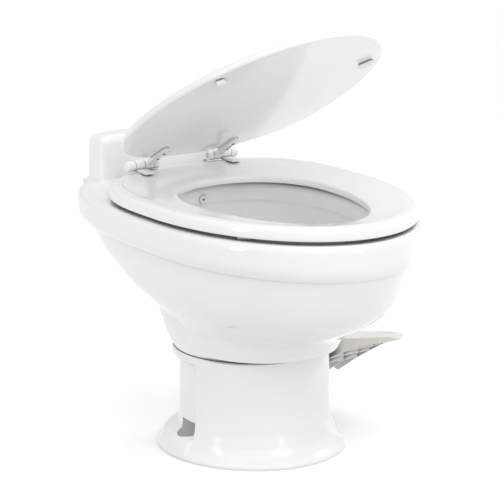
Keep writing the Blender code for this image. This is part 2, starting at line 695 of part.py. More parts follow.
def flush_valve():
    """The valve body, its seals and the clamp that holds it to the bowl."""
    bore = BALL_RADIUS + BALL_CLEARANCE
    outer = bore + VALVE_WALL
    top = OUTLET_Z - 2 * GAP - BALL_SEAL_HEIGHT / 2
    seal_low = top - BALL_SEAL_HEIGHT
    flange = OUTLET_FLANGE_RADIUS
    body = turned("valve_body", [
        (0, DRAIN_RISE), (DRAIN_RADIUS, DRAIN_RISE), (DRAIN_RADIUS, VALVE_FLOOR - VALVE_WALL), (outer, VALVE_FLOOR),
        (outer, top - VALVE_FLANGE), (flange, top - VALVE_FLANGE), (flange, top), (0, top)],
        look=GREY_PLASTIC, segments=VALVE_SIDES)
    inside = turned("inside", [
        (0, DRAIN_RISE - OVERRUN), (DRAIN_RADIUS - VALVE_WALL, DRAIN_RISE - OVERRUN),
        (DRAIN_RADIUS - VALVE_WALL, VALVE_FLOOR - VALVE_WALL / 2), (bore, VALVE_FLOOR + VALVE_WALL / 2),
        (bore, seal_low - VALVE_WALL), (BALL_SEAL_OUTER + GAP, seal_low - GAP),
        (BALL_SEAL_OUTER + GAP, top + OVERRUN), (0, top + OVERRUN)], collection=CUTTERS, segments=VALVE_SIDES)
    ball_bosses = [cylinder("boss", BOSS_RADIUS, (side * (bore + VALVE_WALL / 2), 0, BALL_Z),
                            (side * (outer + GAP * 10), 0, BALL_Z), collection=CUTTERS, segments=24)
                   for side in (-1, 1)]
    carrier = cylinder("carrier", BOSS_RADIUS, (PEDAL_SHAFT_INNER_X - VALVE_WALL, PIVOT_Y, PIVOT_Z),
                       (VALVE_X - CAM_WIDTH / 2 - 2 * RUNNING_GAP, PIVOT_Y, PIVOT_Z), collection=CUTTERS, segments=24)
    join(body, *ball_bosses, carrier)
    shaft_bore = cylinder("shaft_bore", SHAFT_RADIUS + BUSH_WALL + GAP, (-outer * 1.2, 0, BALL_Z),
                          (outer * 1.2, 0, BALL_Z), collection=CUTTERS, segments=24)
    pedal_bore = cylinder("pedal_bore", PEDAL_SHAFT_RADIUS + RUNNING_GAP, (PEDAL_SHAFT_INNER_X - GAP, PIVOT_Y, PIVOT_Z),
                          (GEAR_X, PIVOT_Y, PIVOT_Z), collection=CUTTERS, segments=24)
    cut(body, inside, shaft_bore, pedal_bore)
    shade(body)

    for side, word in ((-1, "right"), (1, "left")):
        near, far = side * (bore + GAP), side * (bore + BUSH_LENGTH)
        tube("ball_bush_" + word, SHAFT_RADIUS + RUNNING_GAP, SHAFT_RADIUS + BUSH_WALL,
             (min(near, far), 0, BALL_Z), (max(near, far), 0, BALL_Z), BLACK_PLASTIC)
    turned("ball_seal", [(BALL_SEAL_RADIUS + GAP, seal_low), (BALL_SEAL_OUTER, seal_low),
                         (BALL_SEAL_OUTER, top), (BALL_SEAL_RADIUS, top)], look=RUBBER,
           segments=VALVE_SIDES)
    turned("outlet_seal", [(OUTLET_SEAL_INNER, top + GAP), (flange - GAP, top + GAP),
                           (flange - GAP, OUTLET_Z - GAP), (OUTLET_SEAL_INNER, OUTLET_Z - GAP)], look=RUBBER,
           segments=VALVE_SIDES)
    turned("floor_gasket", [(DRAIN_RADIUS + GAP, 0), (GASKET_OUTER, 0), (GASKET_OUTER, GASKET_HEIGHT),
                            (DRAIN_RADIUS + GAP, GASKET_HEIGHT)], look=RUBBER, segments=VALVE_SIDES)
    clamp(flange, top)


def clamp(flange, top):
    """A band round the two flanges, with a lip over each, and the bolt through its ears."""
    inner = flange + GAP * 2
    outer = inner + CLAMP_THICKNESS
    low = top - VALVE_FLANGE - GAP
    high = OUTLET_Z + OUTLET_FLANGE_HEIGHT + GAP
    lip = inner - CLAMP_LIP
    band = turned("clamp_band", [
        (lip, low - CLAMP_THICKNESS / 2), (outer, low - CLAMP_THICKNESS / 2), (outer, high + CLAMP_THICKNESS / 2),
        (lip + CLAMP_LIP * 0.8, high + CLAMP_THICKNESS / 2), (lip + CLAMP_LIP * 0.8, high), (inner, high),
        (inner, low), (lip, low)], look=STEEL, segments=VALVE_SIDES)
    middle = (low + high) / 2
    half = CLAMP_EAR_WIDTH / 2
    ears = box("ears", (-CLAMP_EAR_WIDTH, -outer - CLAMP_EAR_LENGTH, middle - half),
               (CLAMP_EAR_WIDTH, -outer + CLAMP_THICKNESS / 2, middle + half), collection=CUTTERS)
    join(band, ears)
    slit = box("slit", (-CLAMP_THICKNESS / 2, -outer - OVERRUN, low - OVERRUN),
               (CLAMP_THICKNESS / 2, -lip + OVERRUN / 2, high + OVERRUN), collection=CUTTERS)
    bolt_y = -outer - CLAMP_EAR_LENGTH * 0.55
    hole = cylinder("hole", CLAMP_BOLT_RADIUS + GAP, (-OVERRUN, bolt_y, middle), (OVERRUN, bolt_y, middle),
                    collection=CUTTERS, segments=16)
    cut(band, slit, hole)
    shade(band)
    ear = CLAMP_EAR_WIDTH + GAP
    bolt = cylinder("clamp_bolt", CLAMP_BOLT_RADIUS, (-ear - CLAMP_NUT_HEIGHT / 2, bolt_y, middle),
                    (ear + CLAMP_NUT_HEIGHT / 2, bolt_y, middle), STEEL, segments=16)
    ends = [cylinder("end", CLAMP_NUT_RADIUS, (side * ear, bolt_y, middle),
                     (side * (ear + CLAMP_NUT_HEIGHT), bolt_y, middle), collection=CUTTERS, segments=6)
            for side in (-1, 1)]
    join(bolt, *ends)


def tube(name, inner, outer, start, end, look, segments=16):
    """A plain tube along X between two points."""
    length = end[0] - start[0]
    profile = [(inner, 0), (outer, 0), (outer, length), (inner, length)]
    return turned(name, profile, start, look, segments=segments, along_x=True)


def flush_ball():
    """The half ball that closes the throat, hung from two ears on its shaft stubs."""
    steps = 5
    outer = [(BALL_RADIUS * math.sin(BALL_CAP_ANGLE * i / steps), BALL_RADIUS * math.cos(BALL_CAP_ANGLE * i / steps))
             for i in range(steps + 1)]
    thin = BALL_RADIUS - BALL_WALL
    inner = [(thin * math.sin(BALL_CAP_ANGLE * i / steps), thin * math.cos(BALL_CAP_ANGLE * i / steps))
             for i in range(steps, -1, -1)]
    ball = turned("flush_ball", outer + inner, (0, 0, BALL_Z), WHITE_PLASTIC, segments=24)
    pieces = []
    for side in (-1, 1):
        ear_x = BALL_RADIUS * math.sin(BALL_CAP_ANGLE) - EAR_WIDTH / 2
        near, far = side * (ear_x - EAR_WIDTH / 2), side * (ear_x + EAR_WIDTH / 2)
        half = EAR_RADIUS * 0.75
        top = BALL_Z + thin * math.cos(BALL_CAP_ANGLE) + BALL_WALL * 0.6
        pieces.append(box("ear", (min(near, far), -half, BALL_Z), (max(near, far), half, top), collection=CUTTERS))
        pieces.append(cylinder("round", EAR_RADIUS, (min(near, far), 0, BALL_Z), (max(near, far), 0, BALL_Z),
                               collection=CUTTERS, segments=24))
        end = GEAR_X + GEAR_WIDTH + CLIP_THICKNESS if side > 0 else BALL_RADIUS + BALL_CLEARANCE + BUSH_LENGTH
        pieces.append(cylinder("stub", SHAFT_RADIUS, (side * ear_x, 0, BALL_Z), (side * end, 0, BALL_Z),
                               collection=CUTTERS, segments=20))
    join(ball, *pieces)
    shade(ball)


def gear_outline(teeth, start, spread, phase, hub):
    """A gear's outline about the origin, as (y, z): toothed over a spread of angles, round elsewhere."""
    pitch = GEAR_MODULE * teeth / 2
    rise = pitch + GEAR_MODULE * TOOTH_RISE_SHARE
    root = pitch - GEAR_MODULE * TOOTH_DROP_SHARE
    step = 2 * math.pi / teeth
    half = step / 4 * (1 - BACKLASH_SHARE)
    lean = GEAR_MODULE * math.tan(math.radians(20))
    points = []
    first = math.ceil((start - phase) / step - 1e-9)
    last = math.floor((start + spread - phase) / step + 1e-9)
    for tooth in range(first, last + (0 if spread > 6 else 1)):
        middle = phase + tooth * step
        for radius, offset in ((root, -half - lean * TOOTH_DROP_SHARE / pitch),
                               (rise, -half + lean * TOOTH_RISE_SHARE / pitch),
                               (rise, half - lean * TOOTH_RISE_SHARE / pitch),
                               (root, half + lean * TOOTH_DROP_SHARE / pitch)):
            angle = middle + offset
            points.append((radius * math.cos(angle), radius * math.sin(angle)))
    if hub:
        end = phase + last * step + step / 2
        begin = phase + first * step - step / 2
        count = 10
        sweep = 2 * math.pi - (end - begin)
        points.extend((hub * math.cos(end + sweep * (i + 0.5) / count), hub * math.sin(end + sweep * (i + 0.5) / count))
                      for i in range(count))
    return points


def shifted(outline, y, z):
    return [(first + y, second + z) for first, second in outline]


def gears():
    """The pinion on the ball's shaft and the toothed sector on the pedal's shaft, in mesh at rest."""
    low, high = GEAR_X, GEAR_X + GEAR_WIDTH
    pinion = prism("ball_pinion", shifted(gear_outline(PINION_TEETH, 0, 2 * math.pi, 0, None), 0, BALL_Z),
                   low, high, "X", BLACK_PLASTIC)
    cut(pinion, cylinder("bore", SHAFT_RADIUS + GAP, (low - OVERRUN, 0, BALL_Z), (high + OVERRUN, 0, BALL_Z),
                         collection=CUTTERS, segments=20))
    half_tooth = math.pi / GEAR_TEETH
    outline = gear_outline(GEAR_TEETH, math.pi - GEAR_SECTOR / 2, GEAR_SECTOR, math.pi + half_tooth, GEAR_HUB_RADIUS)
    sector = prism("pedal_gear", shifted(outline, PIVOT_Y, PIVOT_Z), low, high, "X", BLACK_PLASTIC)
    cut(sector, cylinder("bore", PEDAL_SHAFT_RADIUS + GAP, (low - OVERRUN, PIVOT_Y, PIVOT_Z),
                         (high + OVERRUN, PIVOT_Y, PIVOT_Z), collection=CUTTERS, segments=24))


# The pedal seen from its side, counted from the pivot: shares of its length forwards and upwards
PEDAL_UNDER_SHARES = ((0.055, -0.125), (-0.005, -0.142), (-0.175, -0.029), (-0.370, 0.081), (-0.527, 0.161),
                      (-0.750, 0.250), (-0.985, 0.325))
PEDAL_TOP_SHARES = ((-1.000, 0.338), (-0.990, 0.350), (-0.910, 0.336), (-0.545, 0.240), (-0.205, 0.156),
                    (0.000, 0.096), (0.062, 0.055), (0.083, -0.010), (0.078, -0.080))
# The same from above: share of its width outwards, share of its length forwards
PEDAL_PLAN_SHARES = ((0.000, 0.083), (0.000, -0.880), (0.040, -0.960), (0.110, -1.000), (0.230, -0.972),
                     (0.470, -0.868), (0.700, -0.705), (0.880, -0.515), (0.980, -0.285), (1.000, -0.080),
                     (0.985, 0.083))


def pedal_plan(inset):
    """The pedal's outline from above, drawn in by an inset, as (x, y)."""
    points = []
    middle = PEDAL_INNER_X + PEDAL_WIDTH * 0.42
    for across, along in PEDAL_PLAN_SHARES:
        x = PEDAL_INNER_X + PEDAL_WIDTH * across
        y = PIVOT_Y + PEDAL_LENGTH * along
        toward_x = 1 if x < middle else -1
        toward_y = 1 if along < -0.5 else (0.6 if along < 0 else -1)
        slope = min(abs(along), 1)
        points.append((x + inset * toward_x, y + inset * toward_y * (slope if along < 0 else 1) * 1.3))
    return points


def pedal_side(drop):
    """The pedal's outline from the side as (y, z); a drop gives the hollow under its skin."""
    under = [(PIVOT_Y + PEDAL_LENGTH * y, PIVOT_Z + PEDAL_LENGTH * z) for y, z in PEDAL_UNDER_SHARES]
    top = [(PIVOT_Y + PEDAL_LENGTH * y, PIVOT_Z + PEDAL_LENGTH * z - drop) for y, z in PEDAL_TOP_SHARES]
    if drop:
        under = [(under[0][0], under[0][1] - OVERRUN), (under[-1][0] - OVERRUN, under[0][1] - OVERRUN)]
        top = [(under[-1][0], top[0][1] - OVERRUN * 0.25)] + top[1:]
    return under + top


def pedal():
    """The foot pedal: a thin skin and skirt over a lattice of ribs, with a hub on the shaft."""
    low_x, high_x = PEDAL_INNER_X, PEDAL_INNER_X + PEDAL_WIDTH
    body = prism("pedal", pedal_side(0), low_x - OVERRUN, high_x + OVERRUN, "X", WARM_PLASTIC)
    plan = prism("plan", pedal_plan(0), 0, RIM_HEIGHT, "Z", collection=CUTTERS)
    boolean(body, plan, "INTERSECT")
    apply_all(body)
    bpy.data.objects.remove(plan, do_unlink=True)

    hollow = prism("hollow", pedal_side(PEDAL_SKIN), low_x - OVERRUN, high_x + OVERRUN, "X", collection=CUTTERS)
    inner = prism("inner", pedal_plan(PEDAL_SKIN), 0, RIM_HEIGHT, "Z", collection=CUTTERS)
    boolean(hollow, inner, "INTERSECT")
    apply_all(hollow)
    bpy.data.objects.remove(inner, do_unlink=True)
    ribs = []
    front, back = PIVOT_Y - PEDAL_LENGTH * 0.93, PIVOT_Y - PEDAL_HUB_RADIUS * 1.2
    for bay in range(1, PEDAL_BAYS):
        y = blend(front, back, bay / PEDAL_BAYS)
        ribs.append(box("rib", (low_x - OVERRUN, y - PEDAL_RIB / 2, 0), (high_x + OVERRUN, y + PEDAL_RIB / 2, RIM_HEIGHT),
                        collection=CUTTERS))
    for row in range(1, PEDAL_ROWS):
        x = blend(low_x, high_x, row / PEDAL_ROWS)
        ribs.append(box("rib", (x - PEDAL_RIB / 2, front - OVERRUN * 2, 0), (x + PEDAL_RIB / 2, back + OVERRUN * 3, RIM_HEIGHT),
                        collection=CUTTERS))
    hub = cylinder("hub", PEDAL_HUB_RADIUS, (low_x - OVERRUN, PIVOT_Y, PIVOT_Z), (high_x + OVERRUN, PIVOT_Y, PIVOT_Z),
                   collection=CUTTERS, segments=32)
    cut(hollow, *ribs, hub)
    cut(body, hollow)

    centre_y = PIVOT_Y - PEDAL_LENGTH * 0.60
    dish = turned("dish", [(0, 0), (PEDAL_WIDTH * 0.36, 0), (PEDAL_WIDTH * 0.36 + DISH_DEPTH * 2, OVERRUN),
                           (0, OVERRUN)], collection=CUTTERS, segments=32)
    slope = math.atan2(PEDAL_TOP_SHARES[2][1] - PEDAL_TOP_SHARES[3][1],
                       PEDAL_TOP_SHARES[3][0] - PEDAL_TOP_SHARES[2][0])
    top_z = PIVOT_Z + PEDAL_LENGTH * 0.2545
    dish.data.transform(Matrix.Translation((low_x + PEDAL_WIDTH * 0.43, centre_y, top_z - DISH_DEPTH))
                        @ Matrix.Rotation(-slope, 4, "X") @ Matrix.Diagonal((1, 1.55, 1, 1)))
    bore = cylinder("bore", PEDAL_SHAFT_RADIUS + GAP, (low_x - OVERRUN, PIVOT_Y, PIVOT_Z),
                    (high_x - PEDAL_SKIN, PIVOT_Y, PIVOT_Z), collection=CUTTERS, segments=24)
    cut(body, dish, bore)
    shade(body)

    shaft = cylinder("pedal_shaft", PEDAL_SHAFT_RADIUS, (PEDAL_SHAFT_INNER_X, PIVOT_Y, PIVOT_Z),
                     (high_x - PEDAL_SKIN - GAP, PIVOT_Y, PIVOT_Z), STEEL, segments=24)
    shade(shaft)
    outer_x = math.sqrt(REAR_RADIUS ** 2 - PIVOT_Y ** 2)
    tube("pedal_bush", PEDAL_SHAFT_RADIUS + RUNNING_GAP, PEDAL_SHAFT_RADIUS + BUSH_WALL + GAP,
         (outer_x - BUSH_LENGTH, PIVOT_Y, PIVOT_Z), (PEDAL_INNER_X - RUNNING_GAP, PIVOT_Y, PIVOT_Z), BLACK_PLASTIC)


def return_spring():
    """The torsion spring on the pedal shaft, one unbroken wire with a straight leg at each end."""
    count = SPRING_TURNS * SPRING_POINTS
    coil = []
    for i in range(count + 1):
        angle = 2 * math.pi * i / SPRING_POINTS
        coil.append((SPRING_X + SPRING_PITCH * i / SPRING_POINTS, PIVOT_Y + SPRING_RADIUS * math.cos(angle),
                     PIVOT_Z + SPRING_RADIUS * math.sin(angle)))
    first = (coil[0][0], coil[0][1], coil[0][2] - SPRING_LEG)
    last = (coil[-1][0], coil[-1][1], coil[-1][2] + SPRING_LEG)
    wire("return_spring", [first] + coil + [last], SPRING_WIRE_RADIUS, STEEL, 1)


def wire(name, points, radius, look, resolution=2):
    """A round wire or hose along points, made a closed mesh."""
    curve = bpy.data.curves.new(name, "CURVE")
    curve.dimensions = "3D"
    curve.bevel_depth = radius
    curve.bevel_resolution = resolution
    curve.use_fill_caps = True
    spline = curve.splines.new("POLY")
    spline.points.add(len(points) - 1)
    for target, point in zip(spline.points, points):
        target.co = (*point, 1)
    holder = link(bpy.data.objects.new(name, curve))
    mesh = evaluated_copy(holder)
    bpy.data.objects.remove(holder, do_unlink=True)
    shape = bmesh.new()
    shape.from_mesh(mesh)
    bmesh.ops.remove_doubles(shape, verts=shape.verts, dist=0.00001)
    return shade(from_bmesh(name, shape, look))


def smooth_path(points, per_span):
    """Points along a smooth curve through the given ones."""
    ends = [2 * Vector(points[0]) - Vector(points[1])] + [Vector(p) for p in points]
    ends.append(2 * ends[-1] - ends[-2])
    path = []
    for i in range(1, len(ends) - 2):
        a, b, c, d = ends[i - 1:i + 3]
        for j in range(per_span):
            t = j / per_span
            path.append(0.5 * (2 * b + (c - a) * t + (2 * a - 5 * b + 4 * c - d) * t ** 2
                               + (3 * b - a - 3 * c + d) * t ** 3))
    path.append(ends[-2])
    return path


def cam_outline():
    """The cam's outline: a round hub, and a lobe whose reach grows evenly as the pedal goes down."""
    rate = PLUNGER_TRAVEL / PEDAL_PRESS
    points = []
    steps = 6
    for i in range(steps + 1):
        turn = math.radians(50 - 65 * i / steps)
        away = math.radians(270) - turn
        lift = CAM_REACH + rate * turn
        points.append((lift * math.cos(away) + rate * math.sin(away), lift * math.sin(away) - rate * math.cos(away)))
    start = math.atan2(points[-1][1], points[-1][0])
    end = math.atan2(points[0][1], points[0][0])
    sweep = (end - start) % (2 * math.pi)
    count = 18
    for i in range(1, count):
        angle = start + sweep * i / count
        points.append((CAM_RADIUS * math.cos(angle), CAM_RADIUS * math.sin(angle)))
    return shifted(points, PIVOT_Y, PIVOT_Z)


def water_side():
    """The water valve under the pedal shaft's cam, its plunger and inlet, and the vacuum breaker."""
    half = VALVE_WIDTH / 2
    back_y = VALVE_FRONT_Y + VALVE_DEPTH
    top = VALVE_LOW_Z + VALVE_HEIGHT
    body = box("water_valve_body", (VALVE_X - half, VALVE_FRONT_Y, VALVE_LOW_Z), (VALVE_X + half, back_y, top),
               GREY_PLASTIC, round_by=VALVE_ROUND)
    head_z = PIVOT_Z - CAM_REACH - RUNNING_GAP
    bottom_z = top - PLUNGER_LENGTH
    cut(body, cylinder("plunger_bore", PLUNGER_RADIUS + RUNNING_GAP, (VALVE_X, PIVOT_Y, bottom_z),
                       (VALVE_X, PIVOT_Y, top + OVERRUN), collection=CUTTERS, segments=16))
    plunger = cylinder("water_plunger", PLUNGER_RADIUS, (VALVE_X, PIVOT_Y, bottom_z + 2 * PLUNGER_TRAVEL),
                       (VALVE_X, PIVOT_Y, head_z), STEEL, segments=16)
    join(plunger, cylinder("head", PLUNGER_HEAD_RADIUS, (VALVE_X, PIVOT_Y, head_z - PLUNGER_HEAD),
                           (VALVE_X, PIVOT_Y, head_z), collection=CUTTERS, segments=20))
    cam_x = VALVE_X - CAM_WIDTH / 2
    cam = prism("valve_cam", cam_outline(), cam_x, cam_x + CAM_WIDTH, "X", BLACK_PLASTIC)
    cut(cam, cylinder("bore", PEDAL_SHAFT_RADIUS + GAP, (cam_x - OVERRUN, PIVOT_Y, PIVOT_Z),
                      (cam_x + CAM_WIDTH + OVERRUN, PIVOT_Y, PIVOT_Z), collection=CUTTERS, segments=24))
    start_y = back_y + GAP
    inlet_z = VALVE_LOW_Z + VALVE_HEIGHT / 2
    inlet = cylinder("water_inlet", INLET_RADIUS, (VALVE_X, start_y, inlet_z),
                     (VALVE_X, start_y + INLET_LENGTH, inlet_z), BRASS, segments=20)
    nut_y = start_y + INLET_LENGTH - 2 * INLET_NUT_WIDTH
    join(inlet, cylinder("nut", INLET_NUT_RADIUS, (VALVE_X, nut_y, inlet_z), (VALVE_X, nut_y + INLET_NUT_WIDTH, inlet_z),
                         collection=CUTTERS, segments=6))
    cut(inlet, cylinder("bore", INLET_BORE, (VALVE_X, start_y + INLET_LENGTH / 3, inlet_z),
                        (VALVE_X, start_y + INLET_LENGTH + OVERRUN, inlet_z), collection=CUTTERS, segments=16))
    shade(inlet)
    breaker(Vector((VALVE_X, back_y - HOSE_RADIUS - GAP, top + GAP)))


# The hose's middle points, as height, sideways and backward shares of its way to the vacuum breaker
HOSE_SHARES = ((0.31, 0.03, 0.03), (0.50, 0.14, 0.22), (0.68, 0.40, 0.52), (0.84, 0.80, 0.86))


def breaker(start):
    """The vacuum breaker under the raised back, its float, cap and nozzle, and the hose that feeds it."""
    inner = BREAKER_RADIUS - BREAKER_WALL
    seat_z = BREAKER_TOP - FLOAT_TRAVEL - FLOAT_HEIGHT - BREAKER_WALL
    body = turned("vacuum_breaker_body", [
        (HOSE_RADIUS * 0.7, BREAKER_BOTTOM), (BREAKER_RADIUS, BREAKER_BOTTOM), (BREAKER_RADIUS, BREAKER_TOP),
        (inner, BREAKER_TOP), (inner, seat_z), (HOSE_RADIUS * 0.7, seat_z - BREAKER_WALL)],
        (0, BREAKER_Y, 0), WHITE_PLASTIC, segments=20)
    shade(body)
    turned("vacuum_float", [(0, seat_z + GAP), (FLOAT_RADIUS, seat_z + GAP), (FLOAT_RADIUS, seat_z + FLOAT_HEIGHT),
                            (0, seat_z + FLOAT_HEIGHT)], (0, BREAKER_Y, 0), BLACK_PLASTIC, segments=20)
    cap_low = BREAKER_TOP + GAP
    turned("vacuum_breaker_cap", [
        (0, cap_low), (BREAKER_RADIUS, cap_low), (BREAKER_RADIUS + GAP, cap_low - BREAKER_WALL * 2),
        (BREAKER_CAP_RADIUS, cap_low - BREAKER_WALL * 2), (BREAKER_CAP_RADIUS, cap_low + BREAKER_CAP_HEIGHT * 0.5),
        (BREAKER_CAP_RADIUS * 0.8, cap_low + BREAKER_CAP_HEIGHT), (0, cap_low + BREAKER_CAP_HEIGHT)],
        (0, BREAKER_Y, 0), WHITE_PLASTIC, segments=20)
    nozzle = cylinder("rinse_nozzle", NOZZLE_RADIUS, (0, BREAKER_Y - BREAKER_RADIUS - GAP, NOZZLE_Z),
                      (0, OPENING_BACK + WIDEST_Y - CHINA / 3, NOZZLE_Z), WHITE_PLASTIC, segments=20)
    cut(nozzle, cylinder("bore", NOZZLE_BORE, (0, BREAKER_Y - BREAKER_RADIUS - CHINA / 2, NOZZLE_Z),
                         (0, OPENING_BACK + WIDEST_Y - OVERRUN, NOZZLE_Z), collection=CUTTERS, segments=16))
    shade(nozzle)
    end = Vector((0, BREAKER_Y, BREAKER_BOTTOM - GAP))
    straight = Vector((0, 0, HOSE_RADIUS))
    route = [start + straight, start + 4 * straight]
    for height, across, back in HOSE_SHARES:
        route.append(Vector((blend(start.x, end.x, across), blend(start.y, end.y, back),
                             blend(start.z, end.z, height))))
    route += [end - 3 * straight, end - straight]
    wire("water_hose", [start] + smooth_path(route, 3) + [end], HOSE_RADIUS, CLEAR_HOSE, 1)


def outline_reach(half_width, front, back, inset, back_power, front_power=2.0):
    def reach(angle):
        return egg_reach(angle, half_width, front, back, front_power, back_power) - inset
    return reach


# The seat's section, as height share of its thickness and inset share of its edge rounding
SEAT_SIDE_SHARES = ((0.00, 0.30), (0.08, 0.06), (0.25, 0.00), (0.60, 0.10), (0.86, 0.40), (0.97, 0.95))
SEAT_POINTS = 44


def seat():
    """The seat: a closed oval ring whose top falls from an outer ridge to its opening."""
    low = RIM_HEIGHT + SEAT_LIFT
    high = low + SEAT_THICKNESS
    inner_high = high - SEAT_DISH

    def outer(inset, height):
        return ring(outline_reach(SEAT_HALF_WIDTH, SEAT_FRONT, SEAT_BACK, inset, 3.0), height, count=SEAT_POINTS)

    def inner(out, height):
        return ring(outline_reach(SEAT_OPENING_HALF_WIDTH, SEAT_OPENING_FRONT, SEAT_OPENING_BACK, -out, 2.2), height,
                    count=SEAT_POINTS)

    rings = [outer(SEAT_ROUND * inset, blend(low, high, height)) for height, inset in SEAT_SIDE_SHARES]
    rings += [
        outer(SEAT_RIDGE, high),
        outer(SEAT_RIDGE + SEAT_ROUND, high - SEAT_TURN / 2),
        inner(2 * SEAT_ROUND, inner_high + SEAT_TURN),
        inner(SEAT_TURN, inner_high),
        inner(0, inner_high - SEAT_TURN),
        inner(0, low + SEAT_TURN),
        inner(SEAT_TURN, low),
    ]
    shade(loft("seat_ring", rings, WHITE_ENAMEL, loop=True))
    for name, angle in (("seat_bumper_front_right", 228), ("seat_bumper_front_left", 312),
                        ("seat_bumper_back_right", 148), ("seat_bumper_back_left", 32)):
        turn = math.radians(angle)
        far = egg_reach(turn, SEAT_HALF_WIDTH, SEAT_FRONT, SEAT_BACK, 2.0, 3.0) - 2 * SEAT_ROUND
        place = (far * math.cos(turn), WIDEST_Y + far * math.sin(turn))
        bumper(name, place, turn, RIM_HEIGHT + GAP, low - GAP)


def bumper(name, place, turn, low, high):
    """A soft pad, its length along the edge it sits at."""
    pad = box(name, (-BUMPER_WIDTH / 2, -BUMPER_LENGTH / 2, low), (BUMPER_WIDTH / 2, BUMPER_LENGTH / 2, high),
              WHITE_PLASTIC, round_by=BUMPER_ROUND)
    pad.data.transform(Matrix.Translation((*place, 0)) @ Matrix.Rotation(turn, 4, "Z"))
    return pad


def hinge_turn(angle):
    """Turns a shape about the hinge line: a positive angle lifts its front."""
    pivot = Matrix.Translation((0, HINGE_Y, HINGE_Z))
    return pivot @ Matrix.Rotation(-angle, 4, "X") @ pivot.inverted()


# The lid's edge, as height share of its thickness and inset share of its edge rounding
LID_SIDE_SHARES = ((0.00, 0.60), (0.12, 0.12), (0.35, 0.00), (0.60, 0.15), (0.80, 0.70))
LID_POWER = 2.5


def lid():
    """The lid, modelled level and then turned up about the hinge line."""
    under = HINGE_Z + LID_LIFT
    top = under + LID_THICKNESS

    def outer(inset, height):
        return ring(outline_reach(LID_HALF_WIDTH, LID_FRONT, LID_BACK, inset, LID_POWER), height, count=SEAT_POINTS)

    rings = [outer(LID_ROUND * inset, blend(under, top, height)) for height, inset in LID_SIDE_SHARES]
    rings += [outer(2 * LID_ROUND, top - LID_CROWN), outer(LID_HALF_WIDTH / 3, top)]
    panel = shade(loft("lid_panel", rings, WHITE_ENAMEL))
    panel.data.transform(hinge_turn(LID_TILT))
    for side, word in ((-1, "right"), (1, "left")):
        pad = bumper("lid_bumper_" + word, (0, 0), 0, under - GAP - LID_BUMPER_HEIGHT, under - GAP)
        pad.data.transform(hinge_turn(LID_TILT) @ Matrix.Translation(
            (side * LID_BUMPER_X, HINGE_Y - LID_BUMPER_DISTANCE, 0)) @ Matrix.Rotation(side * LID_BUMPER_TURN, 4, "Z"))


def hinges():
    """Each hinge from the middle outwards: post, lid arm, seat leaf and damper cap on one pin."""
    for side, word in ((-1, "right"), (1, "left")):
        hinge(side, word)


